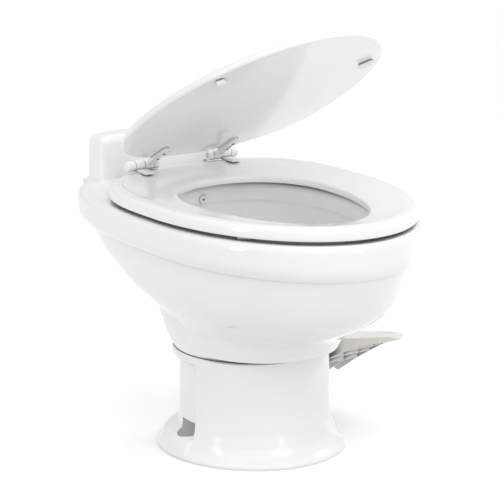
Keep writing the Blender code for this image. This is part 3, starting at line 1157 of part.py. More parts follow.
def hinge(side, word):
    def span(start, width):
        ends = (side * start, side * (start + width))
        return min(ends), max(ends)

    arm_x = POST_X + POST_WIDTH + KNUCKLE_GAP
    leaf_x = arm_x + ARM_WIDTH + KNUCKLE_GAP
    cap_x = leaf_x + LEAF_WIDTH + KNUCKLE_GAP
    end_x = cap_x + CAP_LENGTH
    hole = PIN_RADIUS + GAP

    def barrel(name, start, width, look=None, collection=PARTS):
        low, high = span(start, width)
        return cylinder(name, BARREL_RADIUS, (low, HINGE_Y, HINGE_Z), (high, HINGE_Y, HINGE_Z), look, collection, 20)

    def bore(start, width):
        low, high = span(start, width)
        return cylinder("pin_bore", hole, (low - OVERRUN, HINGE_Y, HINGE_Z), (high + OVERRUN, HINGE_Y, HINGE_Z),
                        collection=CUTTERS, segments=20)

    post_look = WHITE_PLASTIC
    low, high = span(POST_X, POST_WIDTH)
    foot_low = RIM_HEIGHT + GAP
    foot_high = foot_low + POST_FOOT_THICKNESS
    foot_back = POST_FOOT_Y + POST_FOOT_LENGTH / 2
    post = barrel("hinge_post_" + word, POST_X, POST_WIDTH, post_look)
    back_z = HINGE_Z - BARREL_RADIUS * 0.2
    arm = prism("upright", [
        (HINGE_Y, HINGE_Z + BARREL_RADIUS * 0.98), (HINGE_Y + BARREL_RADIUS, HINGE_Z + BARREL_RADIUS * 0.75),
        (foot_back - POST_FOOT_THICKNESS, back_z - BARREL_RADIUS * 0.4), (foot_back, foot_high),
        (foot_back, foot_low), (POST_FOOT_Y - POST_FOOT_LENGTH / 2, foot_low),
        (POST_FOOT_Y - POST_FOOT_LENGTH / 2, foot_high),
        (HINGE_Y + BARREL_RADIUS * 1.4, HINGE_Z - BARREL_RADIUS * 1.2),
        (HINGE_Y + BARREL_RADIUS * 0.6, HINGE_Z - BARREL_RADIUS * 0.75)], low, high, "X", collection=CUTTERS)
    foot_low_x, foot_high_x = span(POST_X, BOLT_X + WASHER_RADIUS - POST_X)
    foot = box("foot", (foot_low_x, POST_FOOT_Y - POST_FOOT_LENGTH / 2, foot_low),
               (foot_high_x, foot_back, foot_high), collection=CUTTERS, round_by=BUMPER_ROUND)
    join(post, arm, foot)
    cut(post, bore(POST_X, POST_WIDTH),
        cylinder("bolt_hole", BOLT_HOLE_RADIUS, (side * BOLT_X, POST_FOOT_Y, foot_low - OVERRUN),
                 (side * BOLT_X, POST_FOOT_Y, foot_high + OVERRUN), collection=CUTTERS, segments=20))
    shade(post)

    lid_arm(side, word, arm_x, barrel, bore, span)
    leaf(word, leaf_x, barrel, bore, span)

    low, high = span(cap_x, CAP_LENGTH)
    cap = barrel("hinge_cap_" + word, cap_x, CAP_LENGTH, WHITE_PLASTIC)
    bevel = cap.modifiers.new("round", "BEVEL")
    bevel.width = BUMPER_ROUND
    bevel.segments = 1
    bevel.limit_method = "ANGLE"
    bevel.angle_limit = math.radians(60)
    apply_all(cap)
    edge = CAP_LENGTH * 0.3
    blind_low, blind_high = span(cap_x - OVERRUN, OVERRUN + CAP_LENGTH - edge)
    cut(cap, cylinder("pin_bore", hole, (blind_low, HINGE_Y, HINGE_Z), (blind_high, HINGE_Y, HINGE_Z),
                      collection=CUTTERS, segments=20))
    shade(cap)
    pin_low, pin_high = span(POST_X - GAP, end_x - POST_X - edge)
    shade(cylinder("hinge_pin_" + word, PIN_RADIUS, (pin_low, HINGE_Y, HINGE_Z), (pin_high, HINGE_Y, HINGE_Z),
                   STEEL, segments=20))
    fixings(side, word, foot_high)


def lid_arm(side, word, arm_x, barrel, bore, span):
    """The arm from the knuckle along the lid's underside, with its two screws."""
    low, high = span(arm_x, ARM_WIDTH)
    top = HINGE_Z + LID_LIFT - GAP
    arm = barrel("lid_arm_" + word, arm_x, ARM_WIDTH, WHITE_PLASTIC)
    middle = (low + high) / 2
    half = ARM_WIDTH / 2
    tip = half * ARM_TAPER_SHARE
    front = HINGE_Y - ARM_LENGTH
    rings = [[(middle + half * a, y, z) for a, y, z in
              ((-1, HINGE_Y, top - ARM_THICKNESS * 1.4), (1, HINGE_Y, top - ARM_THICKNESS * 1.4),
               (1, HINGE_Y, top), (-1, HINGE_Y, top))],
             [(middle + tip * a, front + tip * 0.6, z) for a, z in
              ((-1, top - ARM_THICKNESS), (1, top - ARM_THICKNESS), (1, top), (-1, top))],
             [(middle + tip * 0.6 * a, front, z) for a, z in
              ((-1, top - ARM_THICKNESS * 0.8), (1, top - ARM_THICKNESS * 0.8), (1, top), (-1, top))]]
    join(arm, loft("strap", rings, collection=CUTTERS))
    cut(arm, bore(arm_x, ARM_WIDTH))
    arm.data.transform(hinge_turn(LID_TILT))
    shade(arm)
    for number, share in enumerate(SCREW_PLACES_SHARES, 1):
        y = HINGE_Y - ARM_LENGTH * share
        face = top - ARM_THICKNESS * blend(1.4, 1.0, share) - GAP
        screw = cylinder("arm_screw_" + word + "_" + str(number), SCREW_RADIUS, (middle, y, face - SCREW_HEAD),
                         (middle, y, face), STEEL, segments=16)
        screw.data.transform(hinge_turn(LID_TILT))
        shade(screw)


def leaf(word, leaf_x, barrel, bore, span):
    """The seat's half of the hinge: a knuckle and a plate that lies on the seat's back edge."""
    low, high = span(leaf_x, LEAF_WIDTH)
    seat_top = RIM_HEIGHT + SEAT_LIFT + SEAT_THICKNESS
    knuckle = barrel("seat_leaf_" + word, leaf_x, LEAF_WIDTH, WHITE_PLASTIC)
    plate_low = seat_top + GAP
    neck = box("neck", (low, HINGE_Y - LEAF_LENGTH, plate_low), (high, HINGE_Y + BARREL_RADIUS * 0.5, plate_low + LEAF_THICKNESS),
               collection=CUTTERS, round_by=BUMPER_ROUND / 2)
    join(knuckle, neck)
    cut(knuckle, bore(leaf_x, LEAF_WIDTH))
    shade(knuckle)


def fixings(side, word, foot_high):
    """The bolt that holds a hinge post, with its washer and wing nut under the deck."""
    x, y = side * BOLT_X, POST_FOOT_Y
    top = foot_high + GAP
    bolt = cylinder("hinge_bolt_" + word, BOLT_RADIUS, (x, y, top - BOLT_LENGTH), (x, y, top + BOLT_HEAD_HEIGHT / 2),
                    STEEL, segments=20)
    join(bolt, cylinder("head", BOLT_HEAD_RADIUS, (x, y, top), (x, y, top + BOLT_HEAD_HEIGHT), collection=CUTTERS,
                        segments=24))
    shade(bolt)
    roof = RIM_HEIGHT - DECK_THICKNESS - GAP
    washer = turned("hinge_washer_" + word, [(BOLT_RADIUS + GAP, roof - WASHER_THICKNESS),
                                             (WASHER_RADIUS, roof - WASHER_THICKNESS), (WASHER_RADIUS, roof),
                                             (BOLT_RADIUS + GAP, roof)], (x, y, 0), RUBBER, segments=24)
    shade(washer)
    nut_top = roof - WASHER_THICKNESS - GAP
    nut = cylinder("wing_nut_" + word, NUT_RADIUS, (x, y, nut_top - NUT_HEIGHT), (x, y, nut_top), WHITE_PLASTIC,
                   segments=24, end_radius=NUT_RADIUS * 1.1)
    wings = box("wings", (x - WING_SPAN, y - WING_THICKNESS / 2, nut_top - NUT_HEIGHT * 1.6),
                (x + WING_SPAN, y + WING_THICKNESS / 2, nut_top - NUT_HEIGHT * 0.3), collection=CUTTERS,
                round_by=WING_THICKNESS / 3)
    join(nut, wings)
    cut(nut, cylinder("bore", BOLT_RADIUS + GAP, (x, y, nut_top - NUT_HEIGHT * 2), (x, y, nut_top + OVERRUN),
                      collection=CUTTERS, segments=20))
    shade(nut)


def place_pieces():
    """Moves the whole over its origin, and gives each moving piece an origin on its joint's axis."""
    middle = Vector(((PEDAL_INNER_X + PEDAL_WIDTH - RIM_HALF_WIDTH) / 2, WIDEST_Y + (RIM_BACK - RIM_FRONT) / 2, 0))
    hinge_line = Vector((0, HINGE_Y, HINGE_Z))
    pedal_axis = Vector((0, PIVOT_Y, PIVOT_Z))
    pivots = {
        "pedal": pedal_axis, "pedal_shaft": pedal_axis, "pedal_gear": pedal_axis, "valve_cam": pedal_axis,
        "flush_ball": Vector((0, 0, BALL_Z)), "ball_pinion": Vector((0, 0, BALL_Z)),
        "water_plunger": Vector((VALVE_X, PIVOT_Y, VALVE_LOW_Z + VALVE_HEIGHT)),
        "vacuum_float": Vector((0, BREAKER_Y, BREAKER_TOP)),
    }
    for obj in bpy.data.collections[PARTS].objects:
        at_hinge = obj.name.startswith(("seat_", "hinge_pin", "hinge_cap", "lid_", "arm_screw"))
        pivot = hinge_line if at_hinge else pivots.get(obj.name, Vector())
        obj.data.transform(Matrix.Translation(-pivot))
        obj.location = pivot - middle


def main():
    clear_scene()
    bowl()
    base_shell()
    flush_valve()
    flush_ball()
    gears()
    pedal()
    return_spring()
    water_side()
    seat()
    lid()
    hinges()
    place_pieces()


main()
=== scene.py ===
"""The finished look of a travel toilet with a foot pedal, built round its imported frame.

Sizes are in metres. Shapes are drawn round the pedestal's axis, and SHIFT moves them to the frame's origin.
"""

import math

import bmesh
import bpy
from mathutils import Matrix, Vector


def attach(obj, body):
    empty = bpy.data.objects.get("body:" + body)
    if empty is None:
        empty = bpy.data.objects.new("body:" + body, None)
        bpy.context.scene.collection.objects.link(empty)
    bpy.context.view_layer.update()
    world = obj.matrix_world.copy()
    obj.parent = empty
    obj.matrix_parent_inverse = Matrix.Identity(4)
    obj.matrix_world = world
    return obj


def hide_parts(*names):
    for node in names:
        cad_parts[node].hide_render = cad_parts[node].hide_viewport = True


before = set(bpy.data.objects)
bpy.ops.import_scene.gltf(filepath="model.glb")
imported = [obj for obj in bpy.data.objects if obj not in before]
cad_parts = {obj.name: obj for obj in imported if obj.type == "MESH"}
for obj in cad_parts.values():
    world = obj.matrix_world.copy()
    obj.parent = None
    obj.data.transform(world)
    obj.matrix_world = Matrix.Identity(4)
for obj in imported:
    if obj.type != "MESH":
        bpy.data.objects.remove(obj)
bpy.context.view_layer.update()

SHIFT = Vector((-0.004, 0.0063, 0))
OVERRUN = 0.02
GAP = 0.0003
SAME_PLACE = 0.000005
ARMS_SAME_PLACE = 0.00001
ELLIPSE = 2.0

# Steps of round shapes and rows of curved walls
AROUND = 192
BODY_ROWS = 48
BASIN_ROWS = 40
SHELL_ROWS = 72
RIM_ROWS = 10
FINE_ROUND = 96
ROUND = 64
SMALL_ROUND = 48
HOLE_ROUND = 32

# Sizes of the bowl
BASE_HEIGHT = 0.1432
RIM_HEIGHT = 0.343
RIM_HALF_WIDTH = 0.184
RIM_FRONT = 0.263
RIM_BACK = 0.3038
RIM_POWER = 3.0
RIM_UNDER_SHARE = 0.45
RIM_OVER_SHARE = 0.26
RIM_OVER_INSET = 0.70
WIDEST_Y = -0.0268
BAND_HEIGHT = 0.047
BAND_SLOPE = 0.015
PEDESTAL_RADIUS = 0.109
CHINA = 0.009
BODY_HALF_WIDTH = 0.1675
BODY_FRONT = 0.2545
BODY_BACK = 0.289
FOOT_RADIUS = 0.107
FOOT_SHARE = 0.05
FAIRING_BLEND = 0.003
OPENING_HALF_WIDTH = 0.118
OPENING_FRONT = 0.192
OPENING_BACK = 0.143
OPENING_POWER = 2.3
LIP_HEIGHT = 0.028
LIP_STEP = 0.005
THROAT_RADIUS = 0.036
THROAT_TOP = 0.152
OUTLET_Z = 0.130
OUTLET_FLANGE_RADIUS = 0.0605
OUTLET_FLANGE_HEIGHT = 0.010
DECK_THICKNESS = 0.010
SEAM_EDGE = 0.0017

# Sizes of the raised back
HUMP_HALF_WIDTH = 0.104
HUMP_FRONT_Y = 0.214
HUMP_BACK_Y = 0.257
HUMP_TOP = 0.409
HUMP_ROUND = 0.012
HUMP_TOP_INSET = HUMP_ROUND * 0.9
HUMP_DRAFT = HUMP_ROUND / 10
HUMP_FLARE = 0.007
HUMP_WALL = 0.009
HUMP_SQUARE = 2 / 9
CAVITY_ROUND = 0.006
NOTCH_HALF_WIDTH = 0.046
NOTCH_DEPTH = 0.040
NOTCH_ROUND = 0.004

# Sizes of the pedestal
SHELL = 0.0045
FLOOR_HALF_WIDTH = 0.1293
FLOOR_FRONT = 0.1377
FLOOR_BACK = 0.133
FRONT_ANGLE = 1.5 * math.pi
SHROUD_ANGLE = math.radians(80)
SHROUD_BLEND = math.radians(3)
SHROUD_TOP_SHARE = 0.905
CLOSEST_ANGLES = 0.002
POCKET_RADIUS = 0.0195
POCKET_INNER_X = 0.0615
POCKET_OUTER_X = 0.115
POCKET_FLOOR = 0.010
POCKET_HEIGHT = 0.036
POCKET_WALL = 0.004
POCKET_Y = 0.007
FLOOR_BOLT_X = 0.076
FLOOR_BOLT_HOLE_RADIUS = 0.0055

# Sizes of the ball and its seal
BALL_RADIUS = 0.046
BALL_WALL = 0.0035
BALL_Z = 0.092
BALL_CAP_ANGLE = math.radians(57)
BALL_ARM_SHARE = 0.60
SEAL_DROP = 0.0021
SEAL_HEIGHT = 0.0042
SEAL_OUTER_RADIUS = 0.048
SEAL_INNER_RADIUS = 0.0358
SEAL_LIP_OUTER_RADIUS = 0.0365
SEAL_LIP_INNER_RADIUS = 0.0355
SEAL_LIP_DEPTH = 0.0008

# Sizes of the water side
VALVE_X = 0.049
INLET_Z = 0.056
INLET_START_Y = 0.0728
INLET_RADIUS = 0.0103
INLET_BORE = 0.0065
INLET_LENGTH = 0.038
INLET_EDGE = 0.001
NUT_RADIUS = 0.015
NUT_WIDTH = 0.008
NUT_FROM_END = 0.016
NUT_ROUND = 0.0008
THREAD_COUNT = 5
THREAD_PITCH = 0.0013
THREAD_FROM_END = 0.0072
THREAD_RISE = 0.0005
HOSE_RADIUS = 0.0055
HOSE_START = (VALVE_X, 0.0667, 0.0723)
HOSE_ENTRY_SHARE = 0.7
BREAKER_Y = 0.2403
BREAKER_RADIUS = 0.0135
BREAKER_WALL = 0.002
BREAKER_EDGE = 0.001
BREAKER_BOTTOM = 0.316
BREAKER_TOP = 0.384
BREAKER_FLOOR_RIM_Z = 0.374
BREAKER_FLOOR_Z = 0.372
BREAKER_CAP_RADIUS = 0.0165
BREAKER_CAP_HEIGHT = 0.010
BREAKER_CAP_SKIRT = 0.004
BREAKER_CAP_FLAT_SHARE = 0.8
BREAKER_CAP_WALL_SHARE = 0.67
BREAKER_CAP_ROUND_SHARE = 0.2
GRIP_COUNT = 28
GRIP_RADIUS = 0.0005
GRIP_HEIGHT = 0.007
NOZZLE_Z = 0.3245
NOZZLE_TIP_Y = 0.1132
NOZZLE_RADIUS = 0.0065
NOZZLE_BORE = 0.0016
NOZZLE_MOUTH = 0.0022
NOZZLE_MOUTH_DEPTH = 0.001
NOZZLE_ROUND = 0.0012
NOZZLE_FLOOR = 0.0043

# Sizes of the pedal and its pivot
PIVOT_Y = 0.05
PIVOT_Z = 0.092
SHAFT_HOLE_RADIUS = 0.0081
SHAFT_HOLE_START = 0.07
SHAFT_HOLE_END = 0.15
PEDAL_INNER_X = 0.1135
PEDAL_WIDTH = 0.0785
PEDAL_LENGTH = 0.230
PEDAL_SKIN = 0.003
PEDAL_EDGE = 0.0013
PEDAL_RIB = 0.0022
PEDAL_ROWS = 3
PEDAL_BAYS = 6
PEDAL_HUB_RADIUS = 0.0125
PEDAL_SHAFT_RADIUS = 0.0055
PEDAL_NOSE_SHARE = 0.42
PEDAL_SIDES_END = -0.5
PEDAL_SIDE_INSET = 0.6
PEDAL_INSET_GAIN = 1.3
PEDAL_ROOF_RISE = 0.25
RIBS_FRONT_SHARE = 0.93
RIBS_BACK_SHARE = 1.2
DISH_DEPTH = 0.0022
DISH_RADIUS = PEDAL_WIDTH * 0.24
DISH_ROUND = 0.012
DISH_RUNOUT = 0.013
DISH_STRETCH = 1.3
DISH_SHARES = (0.43, -0.60, 0.2545)

# Sizes of the seat and the lid
SEAT_HALF_WIDTH = 0.179
SEAT_FRONT = 0.258
SEAT_BACK = 0.205
SEAT_POWER = 3.0
SEAT_LOW = 0.3482
SEAT_THICKNESS = 0.0172
SEAT_ROUND = 0.008
SEAT_TURN = 0.0025
SEAT_RIDGE = 0.018
SEAT_DISH = 0.0075
SEAT_OPENING_HALF_WIDTH = 0.109
SEAT_OPENING_FRONT = 0.194
SEAT_OPENING_BACK = 0.118
SEAT_OPENING_POWER = 2.2
SEAT_PAD_ANGLES = (228, 312, 148, 32)
PAD_LENGTH = 0.020
PAD_WIDTH = 0.012
PAD_ROUND = 0.0022
LID_TILT = math.radians(31.3)
LID_HALF_WIDTH = 0.167
LID_FRONT = 0.2329
LID_BACK = 0.1823
LID_POWER = 2.5
LID_LIFT = 0.002
LID_THICKNESS = 0.012
LID_ROUND = 0.005
LID_CROWN = 0.0022
LID_CROWN_ROWS = 8
LID_UNDER_SHARE = 0.6
LID_CROWN_SHARE = 0.8
LID_PAD_DISTANCE = 0.315
LID_PAD_X = 0.119
LID_PAD_HEIGHT = 0.0065
LID_PAD_TURN = math.radians(38)

# Sizes of the hinges
HINGE_Y = 0.168
HINGE_Z = 0.3735
BARREL_RADIUS = 0.0073
KNUCKLE_GAP = 0.0006
POST_X = 0.0433
POST_WIDTH = 0.0075
ARM_X = POST_X + POST_WIDTH + KNUCKLE_GAP
ARM_WIDTH = 0.0145
LEAF_X = ARM_X + ARM_WIDTH + KNUCKLE_GAP
LEAF_WIDTH = 0.0140
CAP_X = LEAF_X + LEAF_WIDTH + KNUCKLE_GAP
CAP_LENGTH = 0.0130
CAP_DOME = 0.0042
CAP_EDGE = 0.0005
ARM_LENGTH = 0.060
ARM_THICKNESS = 0.0040
ARM_TAPER_SHARE = 0.78
ARM_ROOT_SHARE = 0.45
ARM_ROOT_THICKNESS = ARM_THICKNESS * 1.4
ARM_EDGE = 0.0009
LEAF_THICKNESS = 0.0035
LEAF_LENGTH = 0.030
PIN_HOLE_RADIUS = 0.0035
POST_EDGE = 0.0008
POST_FOOT_Y = 0.1966
POST_FOOT_LENGTH = 0.020
POST_FOOT_THICKNESS = 0.005
POST_FOOT_END = 0.080
BOLT_X = 0.070
BOLT_HOLE_RADIUS = 0.0046
SCREW_RADIUS = 0.0034
SCREW_HEAD = 0.0018
SCREW_SIDES = 28
SCREW_TOP_SHARE = 0.82
SLOT_LONG_SHARE = 1.15
SLOT_WIDE_SHARE = 0.26
SCREW_PLACES_SHARES = (0.50, 0.80)
SCREW_RECESS_SHARES = (1.4, 1.0)

# Height share of the body, then shares of its half width, front and back, and how square its back is
BODY_SHARES = (
    (0.000, 0.640, 0.430, 0.430, 2.0), (0.060, 0.628, 0.440, 0.440, 2.0), (0.130, 0.645, 0.475, 0.452, 2.0),
    (0.210, 0.660, 0.525, 0.466, 2.0), (0.300, 0.706, 0.622, 0.500, 2.1), (0.390, 0.777, 0.728, 0.569, 2.2),
    (0.490, 0.860, 0.818, 0.651, 2.3), (0.590, 0.928, 0.882, 0.751, 2.4), (0.700, 0.966, 0.922, 0.848, 2.5),
    (0.820, 0.988, 0.955, 0.940, 2.7), (1.000, 1.000, 1.000, 1.000, 3.0),
)
FAIRING_SHARES = ((0.000, 0.000), (0.060, 0.110), (0.130, 0.200), (0.210, 0.275), (0.300, 0.365),
                  (0.390, 0.455), (0.490, 0.550), (0.590, 0.605), (1.000, 0.605))
BASIN_SHARES = ((0.000, 0.000), (0.090, 0.090), (0.200, 0.270), (0.330, 0.490), (0.480, 0.710),
                (0.640, 0.880), (0.820, 0.985), (1.000, 1.020))
# Height share of the pedestal, then shares of the way from its round wall to the floor's outline,
# in front and behind
SHELL_SHARES = (
    (0.000, 1.000, 1.000), (0.030, 0.970, 0.980), (0.080, 0.680, 0.860), (0.130, 0.470, 0.680),
    (0.170, 0.340, 0.450), (0.195, 0.290, 0.100), (0.215, 0.250, -0.360), (0.300, 0.100, -0.440),
    (0.470, 0.020, -0.460), (0.905, 0.000, -0.460), (0.925, 0.000, -0.030), (1.000, 0.000, 0.000),
)
SEAT_SIDE_SHARES = ((0.00, 0.30), (0.08, 0.06), (0.25, 0.00), (0.60, 0.10), (0.86, 0.40), (0.97, 0.95))
LID_SIDE_SHARES = ((0.00, 0.60), (0.12, 0.12), (0.35, 0.00), (0.60, 0.15), (0.80, 0.70))
PEDAL_UNDER_SHARES = ((0.055, -0.125), (-0.005, -0.142), (-0.175, -0.029), (-0.370, 0.081), (-0.527, 0.161),
                      (-0.750, 0.250), (-0.985, 0.325))
PEDAL_TOP_SHARES = ((-1.000, 0.334), (-0.990, 0.341), (-0.910, 0.332), (-0.545, 0.240), (-0.205, 0.156),
                    (0.000, 0.096), (0.062, 0.055), (0.083, -0.010), (0.078, -0.080))
PEDAL_PLAN_SHARES = ((0.000, 0.083), (0.000, -0.880), (0.040, -0.960), (0.110, -1.000), (0.230, -0.972),
                     (0.470, -0.868), (0.700, -0.705), (0.880, -0.515), (0.980, -0.285), (1.000, -0.080),
                     (0.985, 0.083))
HOSE_SHARES = ((0.31, 0.03, 0.03), (0.50, 0.14, 0.22), (0.68, 0.40, 0.52), (0.84, 0.80, 0.86))
# A post's side round its barrel, in barrel radii back and up from the hinge line
POST_BACK_SHARES = ((0, 0.98), (1, 0.75))
POST_FRONT_SHARES = ((1.4, -1.2), (0.6, -0.75))
POST_KNEE_SHARES = (0.2, 0.4)
# Height shares of the rows that close the walls from inside
BASIN_BACK_ROWS = (0.09, 0.20, 0.33, 0.48, 0.64)
BODY_INSIDE_ROWS = (0.82, 0.70, 0.59, 0.49, 0.39, 0.30, 0.21, 0.13, 0.06, 0.0)
SHELL_INSIDE_ROWS = (0.9, 0.45, 0.30, 0.215, 0.19, 0.13, 0.06, 0.0)

# The camera
CAMERA_PLACE = Vector((-2.145, -3.0214, 1.1953)) + SHIFT
CAMERA_RIGHT = Vector((0.8155, -0.5787, 0))
CAMERA_UP = Vector((0.1395, 0.1966, 0.9705))
CAMERA_BACK = Vector((-0.5616, -0.7915, 0.2411))
PICTURE_SIDE = 500
FOCAL_PIXELS = 2775.5
SENSOR = 36
FAR_CLIP = 100

# The light: each box by its degrees round from the front and up, distance, width, height and power
LIGHT_AIM = Vector((0, 0, 0.22))
SOFT_BOXES = {
    "left_box": (-84, 20, 1.5, 0.2, 0.8, 2.0), "right_box": (6, 20, 1.5, 0.14, 0.8, 1.4),
    "front_box": (10, 38, 1.6, 0.6, 0.4, 1.9), "side_box": (92, 34, 1.5, 0.7, 0.35, 4.5),
}
SUN_ROUND = -20
SUN_UP = 62
SUN_SPREAD = 70
SUN_STRENGTH = 0.70
SUN_DISTANCE = 3
WORLD_STRENGTH = 0.73
FLOOR_SIDE = 40
FLOOR_WHITE = (0.97, 0.97, 0.97, 1)
FLOOR_GLOW = 0.10
FLOOR_ROUGHNESS = 0.9
FLOOR_SPECULAR = 0.1
WHITE = (1, 1, 1, 1)


# Helpers for numbers

def blend(low, high, share):
    return low + (high - low) * share


def smooth(value):
    value = min(max(value, 0), 1)
    return value * value * (3 - 2 * value)


def even(whole, steps, first=0):
    """Even steps from nothing to the whole."""
    return [whole * i / steps for i in range(first, steps + 1)]


def turns(count):
    """Even angles all the way round."""
    return even(2 * math.pi, count)[:-1]


def quarter(steps, first=0):
    """Sine and cosine at even steps over a quarter turn."""
    return [(math.sin(angle), math.cos(angle)) for angle in even(math.radians(90), steps, first)]


def eased(table, share, column):
    """Reads a column of a table along a smooth curve that never overshoots its rows."""
    xs = [row[0] for row in table]
    ys = [row[column] for row in table]
    steps = [(ys[i + 1] - ys[i]) / (xs[i + 1] - xs[i]) for i in range(len(xs) - 1)]
    slopes = [steps[0]]
    for before, after in zip(steps, steps[1:]):
        slopes.append(0 if before * after <= 0 else 2 * before * after / (before + after))
    slopes.append(steps[-1])
    share = min(max(share, xs[0]), xs[-1])
    i = max(k for k in range(len(xs) - 1) if xs[k] <= share)
    width = xs[i + 1] - xs[i]
    t = (share - xs[i]) / width
    return ((1 + 2 * t) * (1 - t) ** 2 * ys[i] + t * (1 - t) ** 2 * width * slopes[i]
            + t * t * (3 - 2 * t) * ys[i + 1] + t * t * (t - 1) * width * slopes[i + 1])


def soft_max(first, second, width):
    """The larger of two values, with a rounded change from one to the other."""
    t = min(max(0.5 + (first - second) / (2 * width), 0), 1)
    return blend(second, first, t) + width * t * (1 - t)


def egg_reach(angle, half_width, front, back, back_power=ELLIPSE):
    """How far an egg reaches: an ellipse in front, squarer behind where its power is higher."""
    c, s = math.cos(angle), math.sin(angle)
    power, reach = (ELLIPSE, front) if s < 0 else (back_power, back)
    return (abs(c / half_width) ** power + abs(s / reach) ** power) ** (-1 / power)


def egg(half_width, front, back, back_power, inset=0):
    return lambda angle: egg_reach(angle, half_width, front, back, back_power) - inset


def circle_reach(angle, radius, offset):
    s, c = math.sin(angle), math.cos(angle)
    return offset * s + math.sqrt(radius ** 2 - (offset * c) ** 2)


def between(outer, inner, share):
    return lambda angle: blend(outer(angle), inner(angle), share)


def through(points, per_span, closed=False):
    """Points along a smooth curve through the given ones."""
    points = [Vector(p) for p in points]
    if closed:
        ends = [points[-1]] + points + points[:2]
    else:
        ends = [2 * points[0] - points[1]] + points + [2 * points[-1] - points[-2]]
    path = []
    for i in range(1, len(ends) - 2):
        a, b, c, d = ends[i - 1:i + 3]
        for j in range(per_span):
            t = j / per_span
            path.append(0.5 * (2 * b + (c - a) * t + (2 * a - 5 * b + 4 * c - d) * t ** 2
                               + (3 * b - a - 3 * c + d) * t ** 3))
    if not closed:
        path.append(points[-1])
    return path


def arc(centre, radius, start, end, steps):
    """Points of an arc in a profile, its angles in degrees."""
    angles = [math.radians(blend(start, end, share)) for share in even(1, steps)]
    return [(centre[0] + radius * math.cos(angle), centre[1] + radius * math.sin(angle))
            for angle in angles]


# Helpers for meshes

def link(obj):
    bpy.context.scene.collection.objects.link(obj)
    return obj


def linked_mesh(name, shape):
    """An object with the mesh that a bmesh holds."""
    mesh = bpy.data.meshes.new(name)
    shape.to_mesh(mesh)
    shape.free()
    return link(bpy.data.objects.new(name, mesh))


def from_bmesh(name, shape):
    bmesh.ops.remove_doubles(shape, verts=shape.verts, dist=SAME_PLACE)
    bmesh.ops.recalc_face_normals(shape, faces=shape.faces)
    return linked_mesh(name, shape)


def ring(reach, height, slope=0, centre_y=WIDEST_Y, angles=None):
    points = []
    for angle in angles or turns(AROUND):
        far = reach(angle)
        y = far * math.sin(angle)
        points.append((far * math.cos(angle), centre_y + y, height + slope * y))
    return points


def loft(name, rings, loop=False):
    shape = bmesh.new()
    rows = [[shape.verts.new(point) for point in points] for points in rings]
    for lower, upper in zip(rows, rows[1:] + rows[:1] if loop else rows[1:]):
        for i in range(len(lower)):
            j = (i + 1) % len(lower)
            shape.faces.new((lower[i], lower[j], upper[j], upper[i]))
    if not loop:
        shape.faces.new(rows[0])
        shape.faces.new(rows[-1])
    return from_bmesh(name, shape)


def prism(name, outline, low, high, axis):
    """An outline drawn out along an axis. Its points hold the other two coordinates in order."""
    place = "XYZ".index(axis)
    return loft(name, [[(*point[:place], end, *point[place:]) for point in outline] for end in (low, high)])


def box(name, low, high):
    low, high = Vector(low), Vector(high)
    shape = bmesh.new()
    bmesh.ops.create_cube(shape, size=1)
    bmesh.ops.scale(shape, vec=high - low, verts=shape.verts)
    bmesh.ops.translate(shape, vec=(low + high) / 2, verts=shape.verts)
    return from_bmesh(name, shape)


def cylinder(name, radius, start, end, segments=SMALL_ROUND):
    start, end = Vector(start), Vector(end)
    shape = bmesh.new()
    bmesh.ops.create_cone(shape, cap_ends=True, segments=segments, radius1=radius, radius2=radius,
                          depth=(end - start).length)
    turn = Vector((0, 0, 1)).rotation_difference(end - start).to_matrix().to_4x4()
    bmesh.ops.transform(shape, matrix=Matrix.Translation((start + end) / 2) @ turn, verts=shape.verts)
    return from_bmesh(name, shape)


def cross_rod(name, radius, low_x, high_x, y, z, segments=SMALL_ROUND):
    """A cylinder along X."""
    return cylinder(name, radius, (low_x, y, z), (high_x, y, z), segments)


def turned(name, profile, place=(0, 0, 0), segments=ROUND, turn=Matrix()):
    """A turned shape: a closed profile of (radius, height) points, spun about Z, then turned and placed."""
    rings = [[(radius * math.cos(angle), radius * math.sin(angle), height) for angle in turns(segments)]
             for radius, height in profile]
    obj = loft(name, rings, loop=True)
    obj.data.transform(Matrix.Translation(place) @ turn)
    return obj


def evaluated(obj):
    graph = bpy.context.evaluated_depsgraph_get()
    graph.update()
    return bpy.data.meshes.new_from_object(obj.evaluated_get(graph))


def apply_all(obj):
    """Turns an object's modifiers into plain mesh."""
    mesh = evaluated(obj)
    obj.modifiers.clear()
    obj.data = mesh
    return obj


def combine(obj, operation, *tools):
    """Applies one exact Boolean after another and drops the shapes that were used."""
    for tool in tools:
        modifier = obj.modifiers.new(operation.lower(), "BOOLEAN")
        modifier.operation = operation
        modifier.solver = "EXACT"
        modifier.object = tool
    apply_all(obj)
    for tool in tools:
        bpy.data.objects.remove(tool, do_unlink=True)
    return obj


def rounded(obj, width, segments=3, angle=40):
    """Rounds the edges that are sharper than an angle."""
    bevel = obj.modifiers.new("round", "BEVEL")
    bevel.width = width
    bevel.segments = segments
    bevel.limit_method = "ANGLE"
    bevel.angle_limit = math.radians(angle)
    bevel.use_clamp_overlap = True
    return apply_all(obj)


def shade(obj, angle=32):
    obj.data.shade_smooth()
    obj.data.set_sharp_from_angle(angle=math.radians(angle))
    return obj


def joined(name, objects):
    """Puts several closed shapes in one object."""
    shape = bmesh.new()
    for obj in objects:
        shape.from_mesh(obj.data)
        bpy.data.objects.remove(obj, do_unlink=True)
    return linked_mesh(name, shape)


def finish_piece(obj, body, look, slot, *others):
    """Places a piece over the frame's origin, gives it its finish, hangs it on its body and hides the
    frame's solids it takes the place of.
    """
    obj.data.transform(Matrix.Translation(SHIFT))
    obj.data.materials.clear()
    obj.data.materials.append(look)
    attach(obj, body)
    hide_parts(slot, *others)


# Helpers for node trees

